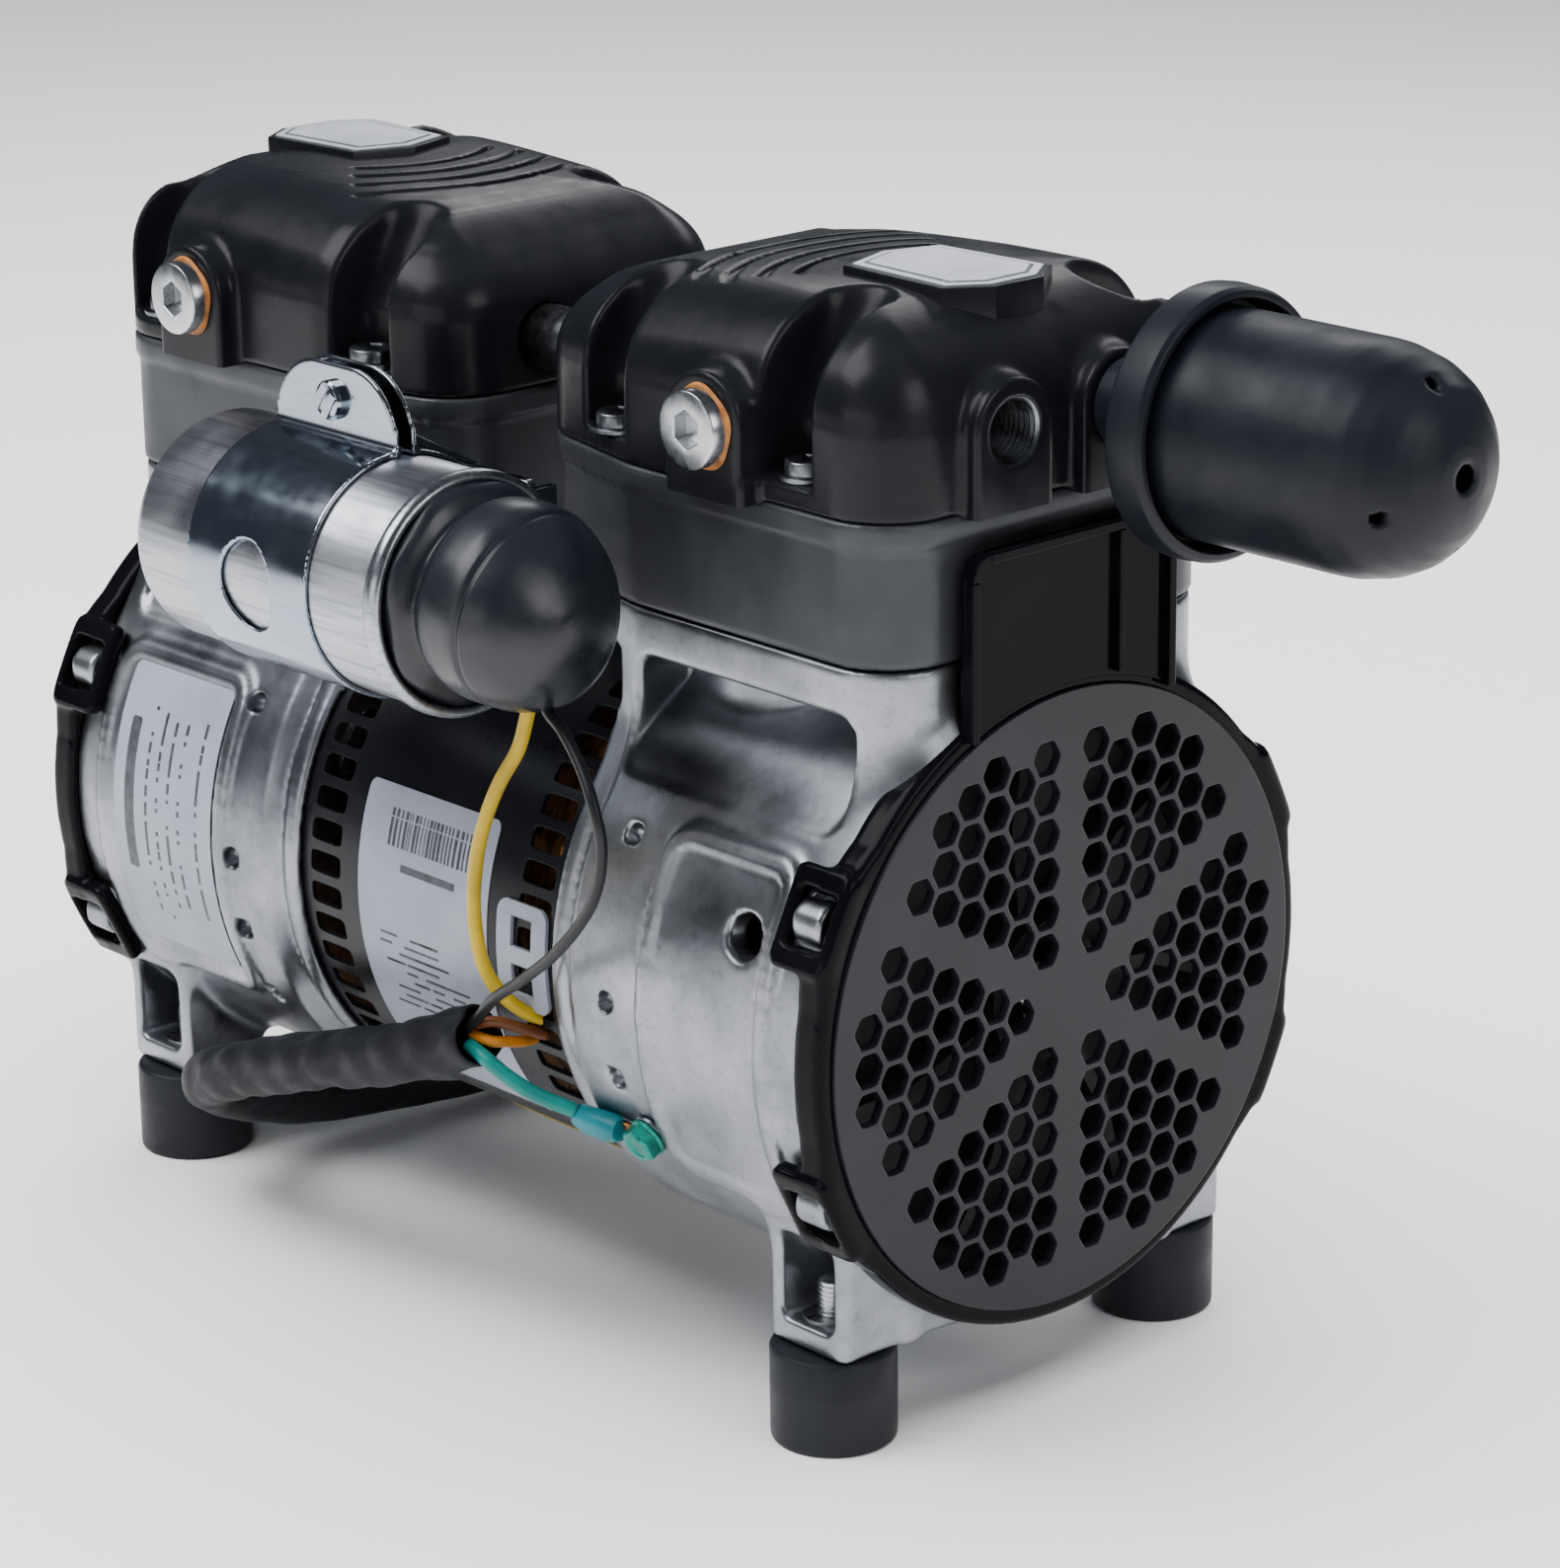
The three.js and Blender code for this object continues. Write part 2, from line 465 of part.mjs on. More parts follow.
// A plug built on the +Z axis: socket head outside, threaded stem below z = 0.
const portPlug = () => cut(
  join(rodZ(7.9, 0.3, 3, 14), rodZ(6.6, 2.5, 5.6, 14), rodZ(5.1, -7, 2.5, 8)), rodZ(3.2, 2.8, 12, 6));
const plugY = (x, side) => portPlug().rotateX(-side * Math.PI / 2).translate(x, side * 52, SIDE_PORT.z);
add('front_right_plug', plugY(SIDE_PORT.rightX, -1), steel);
add('front_left_plug', plugY(SIDE_PORT.leftX, 1), steel);
add('rear_right_plug', plugY(-SIDE_PORT.leftX, -1), steel);
add('rear_left_plug', plugY(-SIDE_PORT.rightX, 1), steel);
const plugX = (y, z) => portPlug().rotateY(-Math.PI / 2).translate(-128.6, y, z);
add('rear_inlet_plug', plugX(-PORT_Y, PORT_Z), steel);
add('rear_outlet_plug', plugX(-MUFFLER_Y, MUFFLER_Z), steel);

// Two short tubes join the intake chambers and the delivery chambers of the two heads.
for (const [name, side] of [['inlet_transfer_tube', 1], ['outlet_transfer_tube', -1]]) {
  add(name, pipeX(5, 7, -13 + GAP, 13 - GAP, 12).translate(0, side * TRANSFER.y, TRANSFER.z), castAluminium);
}

// ---------------------------------------------------------------- inlet muffler
const onMuffler = (geometry) => geometry.translate(0, MUFFLER_Y, MUFFLER_Z);
add('muffler_base', onMuffler(turnedX([[4, 115], [6, 115], [6, 129], [9, 129], [9, 148], [26.6, 148],
  [26.6, 157.4], [24.4, 157.4], [24.4, 151], [4, 151], [4, 115]], 20)), rubber);
const mufflerCap = () => {
  const dome = [[22.6, 192], [21.4, 200.5], [16.5, 208.5], [9, 213], [0, 214.2]];
  const outside = turnedX([[0, 151.3], [22.6, 151.3], ...dome], 20);
  const inside = turnedX([[0, 150], [20, 150], [20, 195], [14, 205], [0, 209.5]], 14);
  return onMuffler(cut(outside, inside, rodX(3.6, 200, 220, 8)));
};
add('muffler_cap', mufflerCap(), rubber);

// ---------------------------------------------------------------- feet
for (const [end, x] of [['front', FOOT_X], ['rear', -FOOT_X]]) {
  for (const [side, y] of [['right', -FOOT_Y], ['left', FOOT_Y]]) {
    add(`${end}_${side}_foot`, turnedZ([[0, 0], [FOOT_RADIUS, 0], [FOOT_RADIUS, FOOT_HEIGHT],
      [3.1, FOOT_HEIGHT], [3.1, 33], [0, 33]], 16).translate(x, y, 0), rubber);
  }
}

// ---------------------------------------------------------------- capacitor
const onCan = (geometry) => geometry.translate(0, CAN_Y, CAN_Z);
const CAN_PROFILE = [[0, CAN_START], [CAN_RADIUS - 2.5, CAN_START], [CAN_RADIUS, CAN_START + 2.5],
  [CAN_RADIUS, CAN_END - 3], [CAN_RADIUS + 0.9, CAN_END - 2], [CAN_RADIUS - 1, CAN_END], [0, CAN_END]];
add('capacitor_can', onCan(turnedX(CAN_PROFILE, 24)), canAluminium);

// Strap round the can, its two ears standing up from the top and bolted to the bracket.
const STRAP = { x0: -23.5, x1: 15.5, thickness: 0.8, earTop: 40.3, earCorner: 14, gap: 3.2 };
const STRAP_SCREW = { x: -4.4, z: 32.8 };
const capacitorStrap = () => {
  const { x0, x1, thickness, earTop, earCorner, gap } = STRAP;
  const inner = CAN_RADIUS + GAP;
  const band = pipeX(inner, inner + thickness, x0, x1, 24);
  const earShape = () => shapeOf(roundedOutline([[x0, inner - 3], [x1, inner - 3], [x1, earTop], [x0, earTop]],
    [0.5, 0.5, earCorner, earCorner]));
  const frontEar = prismY(earShape(), 0, -thickness);
  const backEar = prismY(earShape(), gap + thickness, gap);
  const window = prismY(archShape(STRAP_SCREW.x, 0, 6, -6), -10, -40, 4);
  const screwHole = rodY(2.3, -10, 10, 16).translate(STRAP_SCREW.x, 0, STRAP_SCREW.z);
  const parting = box(x0 - 1, x1 + 1, 0, gap, 0, inner + 2);
  const sheet = join(cut(band, parting), frontEar, backEar);
  return onCan(cut(sheet, rodX(inner, x0 - 1, x1 + 1, 24), window, screwHole));
};
add('capacitor_strap', capacitorStrap(), zinc);

// Slotted screw through both ears and the bracket, with its nut behind.
const strapScrew = () => {
  const head = rodY(4, -3.4, -1.1, 16);
  const shank = rodY(2, -1.5, 9, 10);
  const nut = prismY(hexagonShape(0, 0, 7), 9.5, 6.6);
  const slot = box(-5, 5, -4, -2.3, -0.5, 0.5);
  return onCan(cut(join(head, shank, nut), slot).translate(STRAP_SCREW.x, 0, STRAP_SCREW.z));
};
add('strap_screw', strapScrew(), zinc);

// Folded sheet: a lip behind the strap ears, an arm sloping over the can and a plate across to both blocks.
const BRACKET_ARM = [[4.3, 38], [4.3, 27], [25.8, 15], [25.8, 2], [27.8, 2], [27.8, 16.3], [6.3, 28.2],
  [6.3, 38]];
const capacitorBracket = () => {
  const arm = prismX(shapeOf(BRACKET_ARM), -14, 6);
  const plate = box(-24, 24, 25.8, 27.8, 2, 16);
  const flanges = [-24, 22].map((x) => box(x, x + 2, 25.8, 33.2, 4, 14));
  const screwHole = rodY(2.3, 0, 10, 16).translate(STRAP_SCREW.x, 0, STRAP_SCREW.z);
  return onCan(cut(join(arm, plate, ...flanges), screwHole));
};
add('capacitor_bracket', capacitorBracket(), zinc);

// Rubber cap over the terminals, inside the can's rim and narrowing to a blunt nose.
const BOOT_SECTIONS = [[37, 1, 20.2], [45, 1, 20.3], [53, 0.7, 20.6], [57.5, 0.6, 19.8], [61.5, 0.5, 17.4],
  [65.5, 0.4, 12], [68.6, 0.3, 6.5], [70.2, 0.3, 2.9]];      // [x, lift of the centre, radius]
const capacitorBoot = () => {
  const ringAt = ([x, lift, radius]) => [Array.from({ length: 16 }, (_, i) => {
    const angle = (2 * Math.PI * i) / 16;
    return [radius * Math.cos(angle) - lift, radius * Math.sin(angle)];
  }), x];
  return onCan(loft(BOOT_SECTIONS.map(ringAt)).rotateY(Math.PI / 2));
};
add('capacitor_boot', capacitorBoot(), rubber);

// ---------------------------------------------------------------- wiring
const WIRES = {
  yellow_wire: [1.5, [
    [52.6, -76, 145.2], [50.2, -76.5, 138], [45.6, -78, 129.9], [41, -78.4, 120.5], [36.2, -77, 110],
    [32.8, -75, 98], [31.4, -72, 87], [32, -68, 79.5], [33.2, -62.5, 74.2], [34.6, -57.5, 71.6]]],
  black_wire: [1.2, [
    [60.9, -77, 147.6], [65, -77.3, 145.2], [72.2, -79, 139.9], [78.2, -81, 133.4], [79, -80, 124],
    [73.5, -78.2, 112], [62, -77, 99.4], [48, -75, 88.8], [37, -73.6, 81.4], [30.6, -72.6, 75.6]]],
  orange_wire: [1.2, [[31.4, -70.6, 69.6], [32.4, -67.8, 69], [32.4, -63, 67.8], [31.2, -58.4, 67]]],
  green_wire: [1.6, [
    [32.9, -73.4, 67], [34.9, -72.8, 65.8], [38, -71.4, 63.6], [43, -68.6, 60.6], [48.9, -63.5, 57.5]]],
  link_wire: [1.1, [
    [-33, -14.6, 30.4], [-32, -15.8, 26.4], [-28, -16.4, 24.8], [-20, -16.5, 24.6], [0, -16.5, 24.6],
    [20, -16.5, 24.6], [28, -16.4, 24.8], [32, -15.8, 26.4], [33, -14.6, 30.4]]],
};                               // [radius, route]
const wireColours = { yellow_wire: 0xd8b400, black_wire: 0x2c2e30, orange_wire: 0xb8650a,
  green_wire: 0x0b8a76, link_wire: 0xb89a10 };
for (const [name, [radius, points]] of Object.entries(WIRES)) {
  add(name, tubeAlong(points, radius, 8, Math.round(points.length * 1.6)), finish(wireColours[name], 0.45, 0));
}

// Ring terminal with its insulated barrel, and the green screw that holds it to the drum.
const groundTerminal = () => {
  const { x, angle, shank } = GROUND;
  const seat = DRUM_RADIUS + GAP;
  const ring = rodZ(4.4, seat, seat + 0.8, 20).translate(x, 0, 0);
  const tongue = box(60, x, -1.8, 1.8, seat, seat + 0.8);
  const barrel = rodX(2.6, 49.3, 63.2, 12).translate(0, 0, seat + 2.8);
  return aroundDrum(cut(join(ring, tongue, barrel), rodZ(shank + GAP, 60, 70, 12).translate(x, 0, 0)), angle);
};
add('ground_terminal', groundTerminal(), zinc);
const groundScrew = () => {
  const { x, angle, shank } = GROUND;
  const seat = DRUM_RADIUS + 1.4;
  const parts = join(rodZ(4.3, seat, seat + 0.9, 20), prismZ(hexagonShape(0, 0, 7.6), seat + 0.5, seat + 4.2),
    rodZ(shank, CHAMBER_RADIUS + 1, seat + 0.5, 10));
  return aroundDrum(parts.translate(x, 0, 0), angle);
};
add('ground_screw', groundScrew(), finish(0x0a7a62, 0.35, 0.4));

// Supply lead in its sleeve: off the motor, down behind the rear foot, under the pump and out behind it.
const LEAD_RADIUS = 6;
const LEAD_ROUTE = [[29.6, -72.2, 70.9], [22, -72.8, 67.4], [8, -73.4, 61.6], [-8, -74, 56], [-25, -74.2, 50.2],
  [-42, -74, 44.3], [-57, -73, 38.6], [-69, -69.6, 33], [-77.4, -63, 27], [-81.6, -53, 21], [-82.4, -40, 16],
  [-81.6, -24, 12.8], [-80.4, -6, 11], [-79.2, 14, 9.4], [-78, 34, 7.8], [-76, 54, 6.6], [-70, 72, 6.2],
  [-57, 88, 6.2], [-38, 98, 6.2], [-16, 101, 6.2], [4, 100, 6.2], [22, 97, 6.2]];
add('lead_sleeve', tubeAlong(LEAD_ROUTE, LEAD_RADIUS, 8, 36), rubber);

// The sleeve ends in a shrunk collar, and the three supply wires come out of it with bare ends.
const leadEndWires = () => {
  const collar = tubeAlong([[22.4, 96.93, 6.2], [26, 96.3, 6.2], [30, 95.5, 6.2]], 5.4, 10, 2);
  const tails = [-1, 0, 1].map((side) => tubeAlong([[28, 96 + side * 2.6, 6], [35, 94.8 + side * 3.4, 4.6],
    [44, 93.2 + side * 4.8, 2], [56, 91 + side * 7, 1.6]], 1.4, 8, 6));
  return join(collar, ...tails);
};
add('lead_end_wires', leadEndWires(), rubber);

// The origin is on the floor under the middle of the object, the free lead left out.
const LEAD_NODES = ['lead_sleeve', 'lead_end_wires'];
const extent = new THREE.Box3();
pump.children.filter((mesh) => !LEAD_NODES.includes(mesh.name)).forEach((mesh) => extent.expandByObject(mesh));
const middle = extent.getCenter(new THREE.Vector3());
pump.position.set(-middle.x, -middle.y, 0);

export default pump;
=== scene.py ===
"""Looks of the twin-cylinder air pump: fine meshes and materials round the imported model.

Shapes are worked out in millimetres in the design frame (origin under the middle of the motor, +X along the
shaft to the front, the capacitor on the -Y side) and placed in the row frame by to_row(). Most parts are
built once, for the front; the rear is the front turned half round.
"""
import math

import bmesh
import bpy
import numpy as np
from mathutils import Matrix, Vector


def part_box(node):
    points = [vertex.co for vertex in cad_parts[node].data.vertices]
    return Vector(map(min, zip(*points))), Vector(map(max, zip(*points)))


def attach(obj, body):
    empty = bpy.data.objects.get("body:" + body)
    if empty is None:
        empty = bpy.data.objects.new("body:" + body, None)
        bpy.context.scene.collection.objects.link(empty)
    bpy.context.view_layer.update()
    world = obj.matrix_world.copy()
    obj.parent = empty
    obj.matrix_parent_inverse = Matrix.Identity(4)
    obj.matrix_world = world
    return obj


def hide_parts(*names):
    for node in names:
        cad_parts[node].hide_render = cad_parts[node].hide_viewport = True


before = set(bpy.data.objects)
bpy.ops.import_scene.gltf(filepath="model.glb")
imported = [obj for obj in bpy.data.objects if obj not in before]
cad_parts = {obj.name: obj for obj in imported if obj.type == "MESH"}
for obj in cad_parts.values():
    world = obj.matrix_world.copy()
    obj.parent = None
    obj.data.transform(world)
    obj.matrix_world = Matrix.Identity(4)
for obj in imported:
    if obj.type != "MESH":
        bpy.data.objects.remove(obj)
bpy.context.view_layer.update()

# ------------------------------------------------------------------ driving dimensions, in millimetres
MM = 0.001
SHAFT_LOW, SHAFT_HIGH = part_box("motor_shaft")
ORIGIN = ((Vector(SHAFT_LOW) + Vector(SHAFT_HIGH)) / 2).to_2d().to_3d()    # design origin, in the row frame
SHAFT_Z = 86.0
CYLINDER_X = 69.5
DRUM_RADIUS = 66.0
SHELL_RADIUS = 61.5
SHELL_HALF = 50.2
DECK_Z = 161.0
FOOT = {"x": 107.8, "y": 46.7, "radius": 12.9, "height": 20.2}
PORT = {"y": -16.7, "z": 205.5}
MUFFLER = {"y": 12.7, "z": 206.4}
SIDE_PORT = {"right_x": 78.6, "left_x": 87.7, "z": 204.0}
CAN = {"y": -76.0, "z": 166.8, "radius": 24.2, "start": -43.5, "end": 36.5}
GROUND = {"x": 68.5, "angle": 206.0}
CLIP_ANGLES = (26, 154, 206, 334)
BORE_RADIUS = 32.4
DRUM_HOLLOW = 61.0
DRUM_END = 125.2
FILM = 0.08                # thickness of print on a label
FRONT, REAR = "front", "rear"


def to_row(points):
    """Design-frame millimetres to row-frame metres."""
    return np.asarray(points, dtype=float) * MM + np.array(ORIGIN)


# ------------------------------------------------------------------ camera and floor
CAMERA_AT = (752.49, -651.73, 427.89)
CAMERA_AZIMUTH, CAMERA_ELEVATION, CAMERA_ROLL = 47.425, 18.183, -0.682
CAMERA_LENS, CAMERA_SENSOR = 110.83, 36


def make_camera():
    azimuth, elevation, roll = (math.radians(v) for v in (CAMERA_AZIMUTH, CAMERA_ELEVATION, CAMERA_ROLL))
    back = Vector((math.sin(azimuth) * math.cos(elevation), -math.cos(azimuth) * math.cos(elevation),
                   math.sin(elevation)))
    right = Vector((0, 0, 1)).cross(back).normalized()
    up = back.cross(right)
    right, up = (right * math.cos(roll) + up * math.sin(roll), up * math.cos(roll) - right * math.sin(roll))
    data = bpy.data.cameras.new("camera")
    data.lens = CAMERA_LENS
    data.sensor_width = CAMERA_SENSOR
    data.clip_start, data.clip_end = 0.05, 20
    camera = bpy.data.objects.new("camera", data)
    bpy.context.scene.collection.objects.link(camera)
    turn = Matrix((right, up, back)).transposed().to_4x4()
    camera.matrix_world = Matrix.Translation(Vector(to_row(CAMERA_AT))) @ turn
    bpy.context.scene.camera = camera


WORLD_COLOUR, WORLD_STRENGTH = (0.72, 0.80, 0.95, 1), 0.10
FLOOR_WHITE, FLOOR_ROUGHNESS, FLOOR_SIZE = 0.93, 0.8, 12
PUMP_MIDDLE = (0, 0, 0.12)
LIGHTS = [                 # name, place, aim, size, watts and colour
    ("key", (-0.55, -0.75, 1.25), PUMP_MIDDLE, (1.1, 0.8), 17, (0.97, 0.98, 1.0)),
    ("back_strip", (-0.5, 1.15, 0.95), (0, 0, 0.2), (1.5, 0.35), 6, (1, 1, 1)),
    ("front_fill", (1.5, 0.1, 0.85), PUMP_MIDDLE, (0.8, 0.8), 7, (1, 1, 1)),
    ("side_fill", (0.1, -1.5, 0.35), PUMP_MIDDLE, (1.4, 0.3), 3, (1, 1, 1)),
    ("floor_wash", (0, 0, 1.7), (0, 0, 0), (2.4, 2.4), 90, (1, 1, 1)),
]


def add_area(name, at, aim, size, watts, colour):
    data = bpy.data.lights.new(name, "AREA")
    data.shape = "RECTANGLE"
    data.size, data.size_y = size
    data.energy = watts
    data.color = colour
    light = bpy.data.objects.new(name, data)
    bpy.context.scene.collection.objects.link(light)
    light.location = at
    light.rotation_euler = (Vector(aim) - Vector(at)).to_track_quat("-Z", "Y").to_euler()
    return light


def make_studio():
    world = bpy.data.worlds.new("studio")
    world.use_nodes = True
    background = world.node_tree.nodes["Background"]
    background.inputs["Color"].default_value = WORLD_COLOUR
    background.inputs["Strength"].default_value = WORLD_STRENGTH
    bpy.context.scene.world = world
    lights = [add_area(*light) for light in LIGHTS]
    lights[-1].visible_glossy = False          # the wash lights the floor without a reflection of its own
    bpy.ops.mesh.primitive_plane_add(size=FLOOR_SIZE, location=(0, 0, 0))
    floor = bpy.context.object
    floor.name = "floor"
    paint = bpy.data.materials.new("floor_paint")
    paint.use_nodes = True
    shader = paint.node_tree.nodes["Principled BSDF"]
    shader.inputs["Base Color"].default_value = (FLOOR_WHITE, FLOOR_WHITE, FLOOR_WHITE, 1)
    shader.inputs["Roughness"].default_value = FLOOR_ROUGHNESS
    floor.data.materials.append(paint)


# ------------------------------------------------------------------ materials
NOISE_LOW, NOISE_HIGH = 0.3, 0.7        # where nearly all of a noise's values lie


class Paint:
    """A Principled material with procedural detail in object space, in metres."""

    def __init__(self, name, colour, roughness, metallic=0.0, specular=0.5):
        self.material = bpy.data.materials.new(name)
        self.material.use_nodes = True
        self.material.diffuse_color = (*colour, 1)
        self.tree = self.material.node_tree
        self.shader = self.tree.nodes["Principled BSDF"]
        for socket, value in (("Base Color", (*colour, 1)), ("Roughness", roughness), ("Metallic", metallic),
                              ("Specular IOR Level", specular)):
            self.shader.inputs[socket].default_value = value
        self.place = self.node("ShaderNodeTexCoord", {}).outputs["Object"]
        self.normal = None

    def node(self, kind, inputs, **settings):
        """Adds a node; inputs gives each socket a value or another node's output."""
        made = self.tree.nodes.new(kind)
        for key, value in settings.items():
            setattr(made, key, value)
        for socket, value in inputs.items():
            if hasattr(value, "is_output"):
                self.tree.links.new(value, made.inputs[socket])
            else:
                made.inputs[socket].default_value = value
        return made

    def noise(self, scale, detail=None, rough=0.55, stretch=(1, 1, 1)):
        """Noise with some detail, or cells when no detail is given."""
        place = self.node("ShaderNodeMapping", {"Scale": stretch, "Vector": self.place}).outputs["Vector"]
        if detail is None:
            return self.node("ShaderNodeTexVoronoi", {"Scale": scale, "Vector": place}).outputs["Distance"]
        inputs = {"Scale": scale, "Detail": detail, "Roughness": rough, "Vector": place}
        return self.node("ShaderNodeTexNoise", inputs).outputs["Fac"]

    def ramp(self, noise, stops):
        made = self.node("ShaderNodeValToRGB", {"Fac": self.noise(*noise)})
        elements = made.color_ramp.elements
        for _ in stops[2:]:
            elements.new(0.5)
        for element, (position, colour) in zip(elements, stops):
            element.position = position
            element.color = (*colour, 1)
        return made.outputs["Color"]

    def feed(self, output, socket):
        self.tree.links.new(output, self.shader.inputs[socket])

    def bump(self, noise, depth_mm, strength):
        """Adds one layer of bump, depth_mm deep; layers are chained."""
        inputs = {"Strength": strength, "Distance": depth_mm * MM, "Height": self.noise(*noise)}
        if self.normal is not None:
            inputs["Normal"] = self.normal
        self.normal = self.node("ShaderNodeBump", inputs).outputs["Normal"]
        self.feed(self.normal, "Normal")


def painted(name, colour, roughness, tone, gloss=None, bumps=(), flecks=None, **shader):
    """A material in which each noise is (scale, detail, roughness, stretch), the last two as needed.

    tone is a noise and its colour stops; gloss a noise and the roughness at its ends; each bump a noise with
    its depth in millimetres and strength; flecks a share, a noise and the stops that darken the tone.
    """
    paint = Paint(name, colour, roughness, **shader)
    shade = paint.ramp(*tone)
    if flecks:
        inputs = {"Factor": flecks[0], 6: shade, 7: paint.ramp(*flecks[1:])}
        shade = paint.node("ShaderNodeMix", inputs, data_type="RGBA", blend_type="MULTIPLY").outputs[2]
    paint.feed(shade, "Base Color")
    if gloss:
        noise, low, high = gloss
        inputs = {"Value": paint.noise(*noise), "From Min": NOISE_LOW, "From Max": NOISE_HIGH,
                  "To Min": low, "To Max": high}
        paint.feed(paint.node("ShaderNodeMapRange", inputs).outputs["Result"], "Roughness")
    for noise, depth_mm, strength in bumps:
        paint.bump(noise, depth_mm, strength)
    return paint.material


def moulded_rubber(name, colour, rough, specular=0.22):
    light = tuple(v * 1.5 + 0.002 for v in colour)
    return painted(name, colour, rough, ((45, 4), [(0.32, colour), (0.75, light)]),
                   ((110, 4), rough - 0.07, rough + 0.10), [((30, 3), 0.25, 0.35), ((1100, 2), 0.02, 0.5)],
                   specular=specular)


def insulation(name, colour):
    dark = tuple(v * 0.62 for v in colour)
    return painted(name, colour, 0.36, ((70, 3), [(0.28, dark), (0.6, colour)]),
                   ((180, 3), 0.3, 0.46), [((350, 2), 0.03, 0.4)], specular=0.3)


